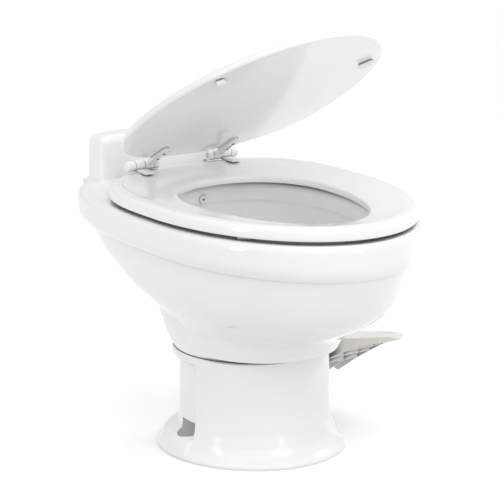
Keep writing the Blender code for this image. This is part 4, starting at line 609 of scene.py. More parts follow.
def new_tree(kind, name, inputs, outputs):
    """A node tree with named sockets. Returns it, what goes in, and the node where it comes out."""
    tree = bpy.data.node_groups.new(name, kind)
    for way, sockets in (("INPUT", inputs), ("OUTPUT", outputs)):
        for label, socket in sockets.items():
            tree.interface.new_socket(label, in_out=way, socket_type="NodeSocket" + socket)
    return tree, tree.nodes.new("NodeGroupInput").outputs, tree.nodes.new("NodeGroupOutput")


def fill(tree, node, inputs):
    """Sets a node's inputs: each takes a plain value, or links to another node's output."""
    for label, value in inputs.items():
        if isinstance(value, bpy.types.NodeSocket):
            tree.links.new(value, node.inputs[label])
        else:
            node.inputs[label].default_value = value
    return node


def add(tree, kind, inputs, **settings):
    """A new node with its settings and its inputs. Returns its outputs."""
    node = tree.nodes.new(kind)
    for label, value in settings.items():
        setattr(node, label, value)
    return fill(tree, node, inputs).outputs


def maths(tree, operation, *values):
    return add(tree, "ShaderNodeMath", dict(enumerate(values)), operation=operation)[0]


# Finishes

def make_tone_group():
    """A slow, faint drift of one colour towards another, as fired or moulded white goods have."""
    tree, given, result = new_tree("ShaderNodeTree", "tone_drift", {
        "Base": "Color", "Drift": "Color", "Scale": "Float", "Amount": "Float"}, {"Color": "Color"})
    noise = add(tree, "ShaderNodeTexNoise", {
        "Vector": add(tree, "ShaderNodeTexCoord", {})["Object"], "Scale": given["Scale"], "Detail": 3.0,
        "Roughness": 0.45})
    spread = add(tree, "ShaderNodeMapRange", {"Value": noise["Fac"], "From Min": 0.35, "From Max": 0.65})
    mix = add(tree, "ShaderNodeMix", {
        "Factor": maths(tree, "MULTIPLY", spread["Result"], given["Amount"]), "A": given["Base"],
        "B": given["Drift"]}, data_type="RGBA")
    fill(tree, result, {"Color": mix["Result"]})
    return tree


def make_skin_group():
    """The fine relief of a surface: a slow wave and a fine grain, added as one height."""
    tree, given, result = new_tree("ShaderNodeTree", "surface_skin", {
        "Wave Scale": "Float", "Wave": "Float", "Grain Scale": "Float", "Grain": "Float",
        "Roughness": "Float", "Roughness Change": "Float"}, {"Height": "Float", "Rough": "Float"})
    place = add(tree, "ShaderNodeTexCoord", {})["Object"]
    wave, grain = (add(tree, "ShaderNodeTexNoise", {
        "Vector": place, "Scale": given[scale], "Detail": detail})["Fac"]
        for scale, detail in (("Wave Scale", 1.0), ("Grain Scale", 4.0)))
    fill(tree, result, {
        "Height": maths(tree, "ADD", maths(tree, "MULTIPLY", wave, given["Wave"]),
                        maths(tree, "MULTIPLY", grain, given["Grain"])),
        "Rough": maths(tree, "MULTIPLY_ADD", wave, given["Roughness Change"], given["Roughness"])})
    return tree


def make_painted_shade_group():
    """Painted shade: darkens a colour a little deep in seams and cells, where less light gets in."""
    tree, given, result = new_tree("ShaderNodeTree", "seam_shade", {
        "Color": "Color", "Distance": "Float", "Deepest": "Float"}, {"Color": "Color"})
    shelter = add(tree, "ShaderNodeAmbientOcclusion", {"Distance": given["Distance"]}, samples=8)
    spread = add(tree, "ShaderNodeMapRange", {
        "Value": shelter["AO"], "From Min": 0.2, "From Max": 0.8, "To Min": given["Deepest"]})
    shaded = add(tree, "ShaderNodeMix", {"Factor": 1.0, "A": given["Color"], "B": spread["Result"]},
                 data_type="RGBA", blend_type="MULTIPLY")
    fill(tree, result, {"Color": shaded["Result"]})
    return tree


TONE = make_tone_group()
SKIN = make_skin_group()
PAINTED_SHADE_GROUP = make_painted_shade_group()
COAT_ROUGHNESS = 0.03
RELIEF_DEPTH = 0.001


def finish(name, base, drift, amount, rough, change, relief, waves, grains, metallic=0.0, coat=0.0,
           drift_scale=9.0, painted_seam_shade=(0.006, 0.45)):
    """A material: tone drift and painted seam shade for its colour, skin relief for its bump and roughness.
    """
    made = bpy.data.materials.new(name)
    made.use_nodes = True
    tree = made.node_tree
    tone = add(tree, "ShaderNodeGroup", {
        "Base": (*base, 1), "Drift": (*drift, 1), "Scale": drift_scale, "Amount": amount}, node_tree=TONE)
    skin = add(tree, "ShaderNodeGroup", {
        "Wave Scale": waves[0], "Wave": waves[1], "Grain Scale": grains[0], "Grain": grains[1],
        "Roughness": rough, "Roughness Change": change}, node_tree=SKIN)
    # Painted shade: the colour is darkened where ambient occlusion finds seams and cells close by
    shaded = add(tree, "ShaderNodeGroup", {
        "Color": tone["Color"], "Distance": painted_seam_shade[0], "Deepest": painted_seam_shade[1]}, node_tree=PAINTED_SHADE_GROUP)
    bump = add(tree, "ShaderNodeBump", {
        "Strength": relief, "Distance": RELIEF_DEPTH, "Height": skin["Height"]})
    fill(tree, tree.nodes["Principled BSDF"], {
        "Metallic": metallic, "Coat Weight": coat, "Coat Roughness": COAT_ROUGHNESS,
        "Base Color": shaded["Color"], "Roughness": skin["Rough"], "Normal": bump["Normal"]})
    return made


# Each finish: its colour, the colour it drifts to and how far, its roughness and how much that changes,
# how strong its relief is, then scale and height of the relief's wave and of its grain
# Where a finish gives a last pair, it sets the reach and the darkest share of its painted shade in seams
# and cells
GLAZED_CHINA = finish("glazed_china", (0.93, 0.93, 0.915), (0.905, 0.907, 0.893), 0.5, 0.05, 0.03, 0.10,
                      (16, 0.9), (260, 0.02), coat=0.5, painted_seam_shade=(0.009, 0.25))
SEAT_ENAMEL = finish("seat_enamel", (0.93, 0.93, 0.915), (0.91, 0.91, 0.895), 0.4, 0.10, 0.04, 0.10,
                     (30, 0.35), (420, 0.05), coat=0.3)
MOULDED_WHITE = finish("moulded_white", (0.925, 0.925, 0.91), (0.90, 0.90, 0.885), 0.5, 0.13, 0.05, 0.14,
                       (24, 0.5), (700, 0.06), painted_seam_shade=(0.009, 0.25))
HINGE_WHITE = finish("hinge_white", (0.91, 0.91, 0.90), (0.88, 0.88, 0.87), 0.4, 0.22, 0.06, 0.16,
                     (60, 0.2), (1500, 0.12))
PEDAL_PLASTIC = finish("pedal_plastic", (0.88, 0.865, 0.835), (0.83, 0.81, 0.775), 0.6, 0.34, 0.10, 0.30,
                       (40, 0.3), (2200, 0.35), drift_scale=22, painted_seam_shade=(0.022, 0.08))
PAD_VINYL = finish("pad_vinyl", (0.72, 0.72, 0.705), (0.66, 0.66, 0.64), 0.5, 0.38, 0.08, 0.25,
                   (90, 0.2), (2600, 0.3), drift_scale=60)
DARK_STEEL = finish("dark_steel", (0.060, 0.060, 0.058), (0.10, 0.10, 0.095), 0.5, 0.34, 0.12, 0.25,
                    (200, 0.3), (3000, 0.4), metallic=0.6, drift_scale=200)
BRIGHT_STEEL = finish("bright_steel", (0.60, 0.60, 0.585), (0.52, 0.52, 0.505), 0.6, 0.24, 0.16, 0.20,
                      (120, 0.3), (2600, 0.35), metallic=1.0, drift_scale=80)
TURNED_BRASS = finish("turned_brass", (0.68, 0.50, 0.24), (0.55, 0.38, 0.18), 0.7, 0.24, 0.18, 0.20,
                      (150, 0.3), (2600, 0.35), metallic=1.0, drift_scale=120)
BLACK_RUBBER = finish("black_rubber", (0.035, 0.035, 0.036), (0.055, 0.055, 0.055), 0.6, 0.62, 0.14, 0.35,
                      (120, 0.4), (2400, 0.5), drift_scale=90)
BLACK_ACETAL = finish("black_acetal", (0.030, 0.030, 0.032), (0.05, 0.05, 0.052), 0.5, 0.36, 0.12, 0.25,
                      (140, 0.3), (2600, 0.3), drift_scale=90)
GREY_VALVE = finish("grey_valve", (0.36, 0.37, 0.38), (0.31, 0.32, 0.33), 0.6, 0.40, 0.12, 0.28,
                    (60, 0.3), (1800, 0.4), drift_scale=30)
HOSE_VINYL = finish("hose_vinyl", (0.62, 0.64, 0.63), (0.54, 0.56, 0.55), 0.6, 0.20, 0.10, 0.15,
                    (80, 0.4), (900, 0.2), coat=0.2, drift_scale=40)
BALL_WHITE = finish("ball_white", (0.90, 0.90, 0.88), (0.84, 0.84, 0.81), 0.6, 0.22, 0.08, 0.15,
                    (50, 0.4), (1200, 0.2), drift_scale=30)


# Repeated small parts, made with Geometry Nodes

def part_tree(name, inputs):
    sockets = {"Geometry": "Geometry"}
    return new_tree("GeometryNodeTree", name, {**sockets, **inputs}, sockets)


def spread_over(tree, given, result, piece, look, turn=(0, 0, 0)):
    """Ends a tree: its piece at each point of the base mesh, as plain mesh with its finish."""
    spread = add(tree, "GeometryNodeInstanceOnPoints", {
        "Points": given["Geometry"], "Instance": piece, "Rotation": turn})
    plain = add(tree, "GeometryNodeRealizeInstances", {"Geometry": spread["Instances"]})
    painted = add(tree, "GeometryNodeSetMaterial", {"Geometry": plain["Geometry"], "Material": look})
    fill(tree, result, {"Geometry": painted["Geometry"]})
    return tree


def grown(name, places, tree, values):
    """Runs a tree on some points with its inputs set by name, and keeps the plain mesh it makes."""
    points = bpy.data.meshes.new(name)
    points.from_pydata([tuple(place) for place in places], [], [])
    obj = link(bpy.data.objects.new(name, points))
    modifier = obj.modifiers.new("grow", "NODES")
    modifier.node_group = tree
    sockets = {item.name: item.identifier for item in tree.interface.items_tree if item.in_out == "INPUT"}
    for label, value in values.items():
        modifier[sockets[label]] = value
    return apply_all(obj)


def screw_head_tree():
    """Low domed screw heads with a crossed slot."""
    tree, given, result = part_tree("screw_heads", {"Radius": "Float", "Height": "Float", "Tilt": "Float"})
    top, long_side, wide_side = (maths(tree, "MULTIPLY", given["Radius"], share)
                                 for share in (SCREW_TOP_SHARE, SLOT_LONG_SHARE, SLOT_WIDE_SHARE))
    head = add(tree, "GeometryNodeMeshCone", {
        "Vertices": SCREW_SIDES, "Side Segments": 1, "Radius Bottom": given["Radius"], "Radius Top": top,
        "Depth": given["Height"]})
    rise = add(tree, "ShaderNodeCombineXYZ", {"Z": given["Height"]})
    slots = tree.nodes.new("GeometryNodeJoinGeometry")
    for x, y in ((long_side, wide_side), (wide_side, long_side)):
        size = add(tree, "ShaderNodeCombineXYZ", {"X": x, "Y": y, "Z": given["Height"]})
        bar = add(tree, "GeometryNodeMeshCube", {"Size": size["Vector"]})
        lift = add(tree, "GeometryNodeTransform", {"Geometry": bar["Mesh"], "Translation": rise["Vector"]})
        fill(tree, slots, {"Geometry": lift["Geometry"]})
    recess = add(tree, "GeometryNodeMeshBoolean", {
        "Mesh 1": head["Mesh"], "Mesh 2": slots.outputs["Geometry"]}, operation="DIFFERENCE")
    turn = add(tree, "ShaderNodeCombineXYZ", {"X": given["Tilt"]})
    return spread_over(tree, given, result, recess["Mesh"], DARK_STEEL, turn["Vector"])


def thread_tree():
    """Thread rings along Y."""
    tree, given, result = part_tree("thread_rings", {"Radius": "Float", "Rise": "Float"})
    circle, section = (add(tree, "GeometryNodeCurvePrimitiveCircle", {
        "Resolution": steps, "Radius": given[radius]})["Curve"]
        for steps, radius in ((SMALL_ROUND, "Radius"), (6, "Rise")))
    sweep = add(tree, "GeometryNodeCurveToMesh", {"Curve": circle, "Profile Curve": section})
    return spread_over(tree, given, result, sweep["Mesh"], TURNED_BRASS, (math.radians(90), 0, 0))


def rib_tree():
    """Flat ribs, all of one size."""
    tree, given, result = part_tree("rib_lattice", {"Size": "Vector"})
    slab = add(tree, "GeometryNodeMeshCube", {"Size": given["Size"]})
    return spread_over(tree, given, result, slab["Mesh"], PEDAL_PLASTIC)


def grip_tree():
    """Upright round bars that make the grip of a cap."""
    tree, given, result = part_tree("grip_ridges", {"Radius": "Float", "Height": "Float"})
    bar = add(tree, "GeometryNodeMeshCylinder", {
        "Vertices": 8, "Radius": given["Radius"], "Depth": given["Height"]})
    return spread_over(tree, given, result, bar["Mesh"], HINGE_WHITE)


# The bowl

def body_reach(share, inset=0):
    """The outline of the bowl's body at a height share, with the upright fairing at its back."""
    half_width = BODY_HALF_WIDTH * eased(BODY_SHARES, share, 1)
    front = BODY_FRONT * eased(BODY_SHARES, share, 2)
    back = BODY_BACK * eased(BODY_SHARES, share, 3)
    power = eased(BODY_SHARES, share, 4)
    lean = FOOT_RADIUS * eased(FAIRING_SHARES, share, 1)
    settle = smooth(share / FOOT_SHARE)

    def reach(angle):
        foot = circle_reach(angle, FOOT_RADIUS, -WIDEST_Y)
        body = egg_reach(angle, half_width, front, back, power)
        fairing = circle_reach(angle, FOOT_RADIUS, lean - WIDEST_Y)
        return blend(foot, soft_max(body, fairing, FAIRING_BLEND), settle) - inset
    return reach


def rim_reach(inset=0):
    return egg(RIM_HALF_WIDTH, RIM_FRONT, RIM_BACK, RIM_POWER, inset)


def basin_reach(share, wall=0):
    mouth = egg(OPENING_HALF_WIDTH, OPENING_FRONT, OPENING_BACK, OPENING_POWER)
    return lambda angle: blend(circle_reach(angle, THROAT_RADIUS, -WIDEST_Y), mouth(angle), share) + wall


def bowl_rings():
    """Rings over the whole casting: its outside, the rim, the basin, and back up inside the walls."""
    foot_z = BASE_HEIGHT + GAP
    band_z = RIM_HEIGHT - BAND_HEIGHT
    lip_z = RIM_HEIGHT - LIP_HEIGHT
    basin_top = lip_z - LIP_STEP
    roof_z = RIM_HEIGHT - DECK_THICKNESS
    flange = OUTLET_FLANGE_RADIUS - THROAT_RADIUS
    full = body_reach(1)
    edge = between(rim_reach(), full, RIM_OVER_INSET)
    rings = []

    def place(reach, height, slope=0):
        rings.append(ring(reach, height, BAND_SLOPE * slope))

    place(body_reach(0, SEAM_EDGE), foot_z)
    for share in even(1, BODY_ROWS):
        place(body_reach(share), max(blend(foot_z, band_z, share), foot_z + SEAM_EDGE), share)
    for s, c in quarter(RIM_ROWS, first=1):
        height = RIM_UNDER_SHARE * (1 - c)
        place(between(rim_reach(), full, 1 - s), blend(band_z, RIM_HEIGHT, height), 1 - height)
    for s, c in quarter(RIM_ROWS):
        height = 1 - RIM_OVER_SHARE + RIM_OVER_SHARE * s
        place(between(rim_reach(), full, RIM_OVER_INSET * (1 - c)), blend(band_z, RIM_HEIGHT, height),
              1 - height)
    for share in (0.25, 0.5, 0.75):
        place(between(edge, basin_reach(1, CHINA), share), RIM_HEIGHT)
    for s, c in quarter(steps=6):
        place(basin_reach(1, CHINA * (1 - s)), RIM_HEIGHT - CHINA * (1 - c))
    place(basin_reach(1), blend(RIM_HEIGHT - CHINA, lip_z + LIP_STEP, 0.5))
    for share in even(1, steps=4):
        place(basin_reach(1, LIP_STEP / 3 * smooth(share)), blend(lip_z + LIP_STEP, lip_z, share))
    for share in even(1, BASIN_ROWS):
        height = 1 - share
        place(basin_reach(eased(BASIN_SHARES, height, 1)), blend(THROAT_TOP, basin_top, height))
    place(basin_reach(0), OUTLET_Z)
    place(basin_reach(0, flange), OUTLET_Z)
    place(basin_reach(0, flange), OUTLET_Z + OUTLET_FLANGE_HEIGHT)
    place(basin_reach(0, CHINA), OUTLET_Z + 2 * OUTLET_FLANGE_HEIGHT)
    for height in BASIN_BACK_ROWS:
        place(basin_reach(eased(BASIN_SHARES, height, 1), CHINA),
              blend(THROAT_TOP, basin_top, height) - CHINA / 2)
    place(basin_reach(1, CHINA + LIP_STEP), roof_z - CHINA)
    place(basin_reach(1, 2 * CHINA), roof_z)
    place(between(rim_reach(CHINA), full, RIM_OVER_INSET), roof_z)
    place(body_reach(1, CHINA), band_z + CHINA, 1)
    for share in BODY_INSIDE_ROWS:
        place(body_reach(share, CHINA), blend(foot_z, band_z, share), share)
    return rings


def raised_back():
    """The raised back: rounded rectangles that flare into the deck and close in at the top."""
    middle_y = (HUMP_FRONT_Y + HUMP_BACK_Y) / 2
    half_depth = (HUMP_BACK_Y - HUMP_FRONT_Y) / 2
    rows = [(RIM_HEIGHT - DECK_THICKNESS + GAP, HUMP_FLARE)]
    rows += [(RIM_HEIGHT - GAP + HUMP_FLARE * (1 - c), HUMP_FLARE * (1 - s))
             for s, c in quarter(steps=8)]
    rows.append((blend(RIM_HEIGHT + HUMP_FLARE, HUMP_TOP - HUMP_ROUND, 0.5), -HUMP_DRAFT / 2))
    rows += [(HUMP_TOP - HUMP_ROUND * (1 - s), -HUMP_DRAFT - HUMP_TOP_INSET * (1 - c))
             for s, c in quarter(steps=10)]
    rings = []
    for height, out in rows:
        points = []
        for angle in turns(AROUND):
            c, s = math.cos(angle), math.sin(angle)
            x = math.copysign(abs(c) ** HUMP_SQUARE, c)
            y = math.copysign(abs(s) ** HUMP_SQUARE, s)
            points.append((x * (HUMP_HALF_WIDTH + out), middle_y + y * (half_depth + out), height))
        rings.append(points)
    return loft("raised_back", rings)


def bolt_hole(side, low, high):
    """The bore for a hinge bolt, longer at both ends than what it goes through."""
    place = (side * BOLT_X, POST_FOOT_Y)
    return cylinder("bolt_hole", BOLT_HOLE_RADIUS, (*place, low - OVERRUN), (*place, high + OVERRUN))


def make_bowl():
    body = loft("china_bowl", bowl_rings(), loop=True)
    combine(body, "UNION", raised_back())
    inside_x = HUMP_HALF_WIDTH - 2 * HUMP_WALL
    inside_y = HUMP_FRONT_Y + HUMP_WALL
    cavity = box("cavity", (-inside_x, inside_y, RIM_HEIGHT + HUMP_WALL / 3),
                 (inside_x, RIM_BACK + OVERRUN, HUMP_TOP - HUMP_WALL))
    rounded(cavity, CAVITY_ROUND, segments=4)
    notch = box("notch", (-NOTCH_HALF_WIDTH, inside_y, RIM_HEIGHT - NOTCH_DEPTH),
                (NOTCH_HALF_WIDTH, RIM_BACK + OVERRUN, HUMP_TOP - HUMP_WALL - HUMP_WALL))
    rounded(notch, NOTCH_ROUND, segments=4)
    nozzle_hole = cylinder("nozzle_hole", NOZZLE_RADIUS + GAP,
                           (0, OPENING_BACK + WIDEST_Y - OVERRUN, NOZZLE_Z),
                           (0, HUMP_FRONT_Y + OVERRUN, NOZZLE_Z))
    combine(body, "DIFFERENCE", cavity, notch, nozzle_hole,
            *[bolt_hole(side, RIM_HEIGHT, RIM_HEIGHT) for side in (-1, 1)])
    finish_piece(shade(body), "bowl_and_base", GLAZED_CHINA, "bowl")


# The pedestal

def shell_reach(front, back, wall=0):
    """The pedestal's outline: its front turns into the niche behind where the shroud ends."""
    def reach(angle):
        from_front = abs((angle - FRONT_ANGLE + math.pi) % (2 * math.pi) - math.pi)
        behind = smooth((from_front - SHROUD_ANGLE) / SHROUD_BLEND + 0.5)
        floor = egg_reach(angle, FLOOR_HALF_WIDTH, FLOOR_FRONT, FLOOR_BACK)
        return blend(PEDESTAL_RADIUS, floor, blend(front, back, behind)) - wall
    return reach


def shell_angles():
    """Angles round the pedestal, closer together where the shroud ends."""
    fine = {round(angle, 5) for angle in turns(AROUND)}
    for side in (-1, 1):
        edge = FRONT_ANGLE + side * SHROUD_ANGLE
        fine |= {round((edge + SHROUD_BLEND * i / 8) % (2 * math.pi), 5) for i in range(-5, 6)}
    kept = []
    for angle in sorted(fine):
        if not kept or angle - kept[-1] > CLOSEST_ANGLES:
            kept.append(angle)
    return kept


def stadium(name, low_x, high_x, radius, low_z, high_z):
    points = []
    for centre_x, start in ((high_x - radius, -math.pi / 2), (low_x + radius, math.pi / 2)):
        for turn in even(math.pi, steps=20):
            angle = turn + start
            points.append((centre_x + radius * math.cos(angle), POCKET_Y + radius * math.sin(angle)))
    return prism(name, points, low_z, high_z, "Z")


def make_pedestal():
    angles = shell_angles()

    def level(share, z, wall=0):
        front, back = (eased(SHELL_SHARES, share, column) for column in (1, 2))
        return ring(shell_reach(front, back, wall), z, centre_y=0, angles=angles)

    outer = [level(share, min(BASE_HEIGHT * share, BASE_HEIGHT - SEAM_EDGE))
             for share in even(1, SHELL_ROWS)]
    outer.append(level(1, BASE_HEIGHT, SEAM_EDGE))
    inner = [level(SHROUD_TOP_SHARE, BASE_HEIGHT, SHELL)]
    inner += [level(share, BASE_HEIGHT * share, SHELL) for share in SHELL_INSIDE_ROWS]
    shell = loft("pedestal_shell", outer + inner, loop=True)
    blocks, pockets = [], []
    roof = POCKET_FLOOR + POCKET_HEIGHT
    for side in (-1, 1):
        low_x, high_x = sorted((side * POCKET_INNER_X, side * POCKET_OUTER_X))
        block = stadium("block", low_x - POCKET_WALL, high_x + POCKET_WALL, POCKET_RADIUS + POCKET_WALL,
                        POCKET_FLOOR - POCKET_WALL, roof + POCKET_WALL)
        blocks.append(combine(block, "INTERSECT", loft("form", outer)))
        place = (side * FLOOR_BOLT_X, POCKET_Y)
        pockets.append(stadium("pocket", low_x, high_x, POCKET_RADIUS, POCKET_FLOOR, roof))
        pockets.append(cylinder("floor_hole", FLOOR_BOLT_HOLE_RADIUS, (*place, -OVERRUN),
                                (*place, POCKET_FLOOR + OVERRUN / 2), HOLE_ROUND))
    combine(shell, "UNION", *blocks)
    shaft_hole = cross_rod("shaft_hole", SHAFT_HOLE_RADIUS, SHAFT_HOLE_START, SHAFT_HOLE_END,
                           PIVOT_Y, PIVOT_Z)
    inlet_hole = cylinder("inlet_hole", INLET_RADIUS + GAP, (VALVE_X, INLET_START_Y, INLET_Z),
                          (VALVE_X, FLOOR_BACK + OVERRUN, INLET_Z))
    combine(shell, "DIFFERENCE", shaft_hole, inlet_hole, *pockets)
    finish_piece(shade(shell, angle=28), "bowl_and_base", MOULDED_WHITE, "base_shell")


# The seat and the lid

def seat_outer(inset):
    return egg(SEAT_HALF_WIDTH, SEAT_FRONT, SEAT_BACK, SEAT_POWER, inset)


def make_seat():
    high = SEAT_LOW + SEAT_THICKNESS
    inner_high = high - SEAT_DISH

    def outer(inset, height):
        return seat_outer(inset), height

    def inner(out, height):
        return egg(SEAT_OPENING_HALF_WIDTH, SEAT_OPENING_FRONT, SEAT_OPENING_BACK, SEAT_OPENING_POWER,
                   -out), height

    section = [outer(SEAT_ROUND * inset, blend(SEAT_LOW, high, height))
               for height, inset in SEAT_SIDE_SHARES]
    section += [
        outer(SEAT_RIDGE, high), outer(SEAT_RIDGE + SEAT_ROUND, high - SEAT_TURN / 2),
        inner(2 * SEAT_ROUND, inner_high + SEAT_TURN), inner(SEAT_TURN, inner_high),
        inner(0, inner_high - SEAT_TURN), inner(0, SEAT_LOW + SEAT_TURN), inner(SEAT_TURN, SEAT_LOW),
        inner(2 * SEAT_ROUND, SEAT_LOW), outer(2 * SEAT_ROUND, SEAT_LOW), outer(SEAT_ROUND, SEAT_LOW),
    ]
    columns = []
    for angle in turns(AROUND):
        points = through([(reach(angle), height, 0) for reach, height in section], per_span=4, closed=True)
        columns.append([(p.x * math.cos(angle), WIDEST_Y + p.x * math.sin(angle), max(p.y, SEAT_LOW))
                        for p in points])
    seat = loft("seat", list(zip(*columns)), loop=True)
    finish_piece(shade(seat, angle=50), "seat", SEAT_ENAMEL, "seat_ring")


def hinge_turn(angle):
    """Turns a shape about the hinge line: a positive angle lifts its front."""
    pivot = Matrix.Translation((0, HINGE_Y, HINGE_Z))
    return pivot @ Matrix.Rotation(-angle, 4, "X") @ pivot.inverted()


def make_lid():
    under = HINGE_Z + LID_LIFT
    top = under + LID_THICKNESS

    def outer(inset, height):
        return ring(egg(LID_HALF_WIDTH, LID_FRONT, LID_BACK, LID_POWER, inset), height)

    side = [(LID_ROUND * inset, blend(under, top, height), 0) for height, inset in LID_SIDE_SHARES]
    side.append((2 * LID_ROUND, top - LID_CROWN, 0))
    rings = [outer(inset, under) for inset in (LID_HALF_WIDTH * LID_UNDER_SHARE, 2 * LID_ROUND, LID_ROUND)]
    rings += [outer(max(p.x, 0), max(p.y, under)) for p in through(side, per_span=4)]
    for share in even(1, LID_CROWN_ROWS)[1:]:
        rings.append(outer(blend(2 * LID_ROUND, LID_HALF_WIDTH * LID_CROWN_SHARE, share),
                           top - LID_CROWN * (1 - share) ** 2))
    lid = shade(loft("lid", rings), angle=50)
    lid.data.transform(hinge_turn(LID_TILT))
    finish_piece(lid, "lid", SEAT_ENAMEL, "lid_panel")


def pad(low, high, place):
    """One soft pad with rounded edges, made level at the origin and moved to its place."""
    one = rounded(box("pad", (-PAD_WIDTH / 2, -PAD_LENGTH / 2, low), (PAD_WIDTH / 2, PAD_LENGTH / 2, high)),
                  PAD_ROUND, segments=4)
    one.data.transform(place)
    return one


def make_pads():
    pads = []
    for turn in map(math.radians, SEAT_PAD_ANGLES):
        far = seat_outer(2 * SEAT_ROUND)(turn)
        pads.append(pad(RIM_HEIGHT + GAP, SEAT_LOW - GAP, Matrix.Translation(
            (far * math.cos(turn), WIDEST_Y + far * math.sin(turn), 0)) @ Matrix.Rotation(turn, 4, "Z")))
    finish_piece(shade(joined("seat_pads", pads)), "seat", PAD_VINYL, "seat_bumper_front_right",
                 "seat_bumper_front_left", "seat_bumper_back_right", "seat_bumper_back_left")
    high = HINGE_Z + LID_LIFT - GAP
    pads = [pad(high - LID_PAD_HEIGHT, high, hinge_turn(LID_TILT) @ Matrix.Translation(
        (side * LID_PAD_X, HINGE_Y - LID_PAD_DISTANCE, 0)) @ Matrix.Rotation(side * LID_PAD_TURN, 4, "Z"))
        for side in (-1, 1)]
    finish_piece(shade(joined("lid_pads", pads)), "lid", HINGE_WHITE, "lid_bumper_right", "lid_bumper_left")


# The hinges

def along(side, start, width):
    return sorted((side * start, side * (start + width)))


def barrel(side, start, width):
    return cross_rod("barrel", BARREL_RADIUS, *along(side, start, width), HINGE_Y, HINGE_Z, ROUND)


def pin_bore(side, start, width):
    low, high = along(side, start, width)
    return cross_rod("bore", PIN_HOLE_RADIUS, low - OVERRUN, high + OVERRUN, HINGE_Y, HINGE_Z)


def hinge_post(side):
    foot_low = RIM_HEIGHT + GAP
    foot_high = foot_low + POST_FOOT_THICKNESS
    foot_back = POST_FOOT_Y + POST_FOOT_LENGTH / 2
    foot_front = POST_FOOT_Y - POST_FOOT_LENGTH / 2
    upper, lower = ([(HINGE_Y + BARREL_RADIUS * y, HINGE_Z + BARREL_RADIUS * z) for y, z in table]
                    for table in (POST_BACK_SHARES, POST_FRONT_SHARES))
    knee_z = HINGE_Z - BARREL_RADIUS * POST_KNEE_SHARES[0] - BARREL_RADIUS * POST_KNEE_SHARES[1]
    upright = prism("upright", upper + [
        (foot_back - POST_FOOT_THICKNESS, knee_z), (foot_back, foot_high), (foot_back, foot_low),
        (foot_front, foot_low), (foot_front, foot_high)] + lower, *along(side, POST_X, POST_WIDTH), "X")
    foot_low_x, foot_high_x = along(side, POST_X, POST_FOOT_END - POST_X)
    foot = box("foot", (foot_low_x, foot_front, foot_low), (foot_high_x, foot_back, foot_high))
    post = combine(barrel(side, POST_X, POST_WIDTH), "UNION", upright, foot)
    combine(post, "DIFFERENCE", bolt_hole(side, foot_low, foot_high), pin_bore(side, POST_X, POST_WIDTH))
    return rounded(post, POST_EDGE, segments=2)


def lid_arm(side):
    low, high = along(side, ARM_X, ARM_WIDTH)
    top = HINGE_Z + LID_LIFT - GAP
    middle, half = (low + high) / 2, ARM_WIDTH / 2
    tip = half * ARM_TAPER_SHARE
    front = HINGE_Y - ARM_LENGTH
    outline = [(middle - half, HINGE_Y), (middle + half, HINGE_Y)]
    for turn in even(math.pi, steps=12):
        outline.append((middle + tip * math.cos(turn), front + tip * (1 - math.sin(turn))))
    strap = prism("strap", outline, top - ARM_THICKNESS, top, "Z")
    root_y = HINGE_Y - ARM_LENGTH * ARM_ROOT_SHARE
    root = prism("root", [(HINGE_Y, top - ARM_ROOT_THICKNESS), (HINGE_Y, top), (root_y, top),
                          (root_y, top - ARM_THICKNESS)], low, high, "X")
    combine(root, "INTERSECT", prism("plan", outline, top - ARM_THICKNESS * 2, top + ARM_THICKNESS, "Z"))
    arm = combine(barrel(side, ARM_X, ARM_WIDTH), "UNION", strap, root)
    combine(arm, "DIFFERENCE", pin_bore(side, ARM_X, ARM_WIDTH))
    rounded(arm, ARM_EDGE)
    arm.data.transform(hinge_turn(LID_TILT))
    return arm


def seat_leaf(side):
    low, high = along(side, LEAF_X, LEAF_WIDTH)
    plate_low = SEAT_LOW + SEAT_THICKNESS + GAP
    plate = box("plate", (low, HINGE_Y - LEAF_LENGTH, plate_low),
                (high, HINGE_Y + BARREL_RADIUS * 0.5, plate_low + LEAF_THICKNESS))
    leaf = combine(barrel(side, LEAF_X, LEAF_WIDTH), "UNION", plate)
    combine(leaf, "DIFFERENCE", pin_bore(side, LEAF_X, LEAF_WIDTH))
    return rounded(leaf, ARM_EDGE)


def hinge_cap(side):
    """The round-ended cap outside the leaf."""
    start = CAP_LENGTH - CAP_DOME
    profile = [(0, 0), (BARREL_RADIUS - CAP_EDGE, 0), (BARREL_RADIUS, CAP_EDGE), (BARREL_RADIUS, start)]
    profile += [(BARREL_RADIUS - CAP_DOME + CAP_DOME * c, start + CAP_DOME * s)
                for s, c in quarter(steps=10, first=1)]
    profile.append((0, CAP_LENGTH))
    return turned("cap", profile, (side * CAP_X, HINGE_Y, HINGE_Z),
                  turn=Matrix.Rotation(math.radians(90 * side), 4, "Y"))


def make_hinges():
    for name, maker, body, slot, other in (
            ("hinge_posts", hinge_post, "bowl_and_base", "hinge_post_left", "hinge_post_right"),
            ("lid_arms", lid_arm, "lid", "lid_arm_left", "lid_arm_right"),
            ("seat_leaves", seat_leaf, "seat", "seat_leaf_left", "seat_leaf_right"),
            ("hinge_caps", hinge_cap, "seat", "hinge_cap_left", "hinge_cap_right")):
        pair = joined(name, [maker(-1), maker(1)])
        finish_piece(shade(pair, angle=35), body, HINGE_WHITE, slot, other)
    places = []
    top = HINGE_Z + LID_LIFT - GAP
    for side in (-1, 1):
        for share in SCREW_PLACES_SHARES:
            face = top - ARM_THICKNESS * blend(*SCREW_RECESS_SHARES, share)
            places.append(hinge_turn(LID_TILT) @ Vector((
                sum(along(side, ARM_X, ARM_WIDTH)) / 2, HINGE_Y - ARM_LENGTH * share, face - GAP)))
    heads = grown("arm_screws", places, screw_head_tree(), {
        "Radius": SCREW_RADIUS, "Height": SCREW_HEAD, "Tilt": math.pi - LID_TILT})
    finish_piece(shade(heads, angle=40), "lid", DARK_STEEL, "arm_screw_left_1", "arm_screw_left_2",
                 "arm_screw_right_1", "arm_screw_right_2")


# The foot pedal

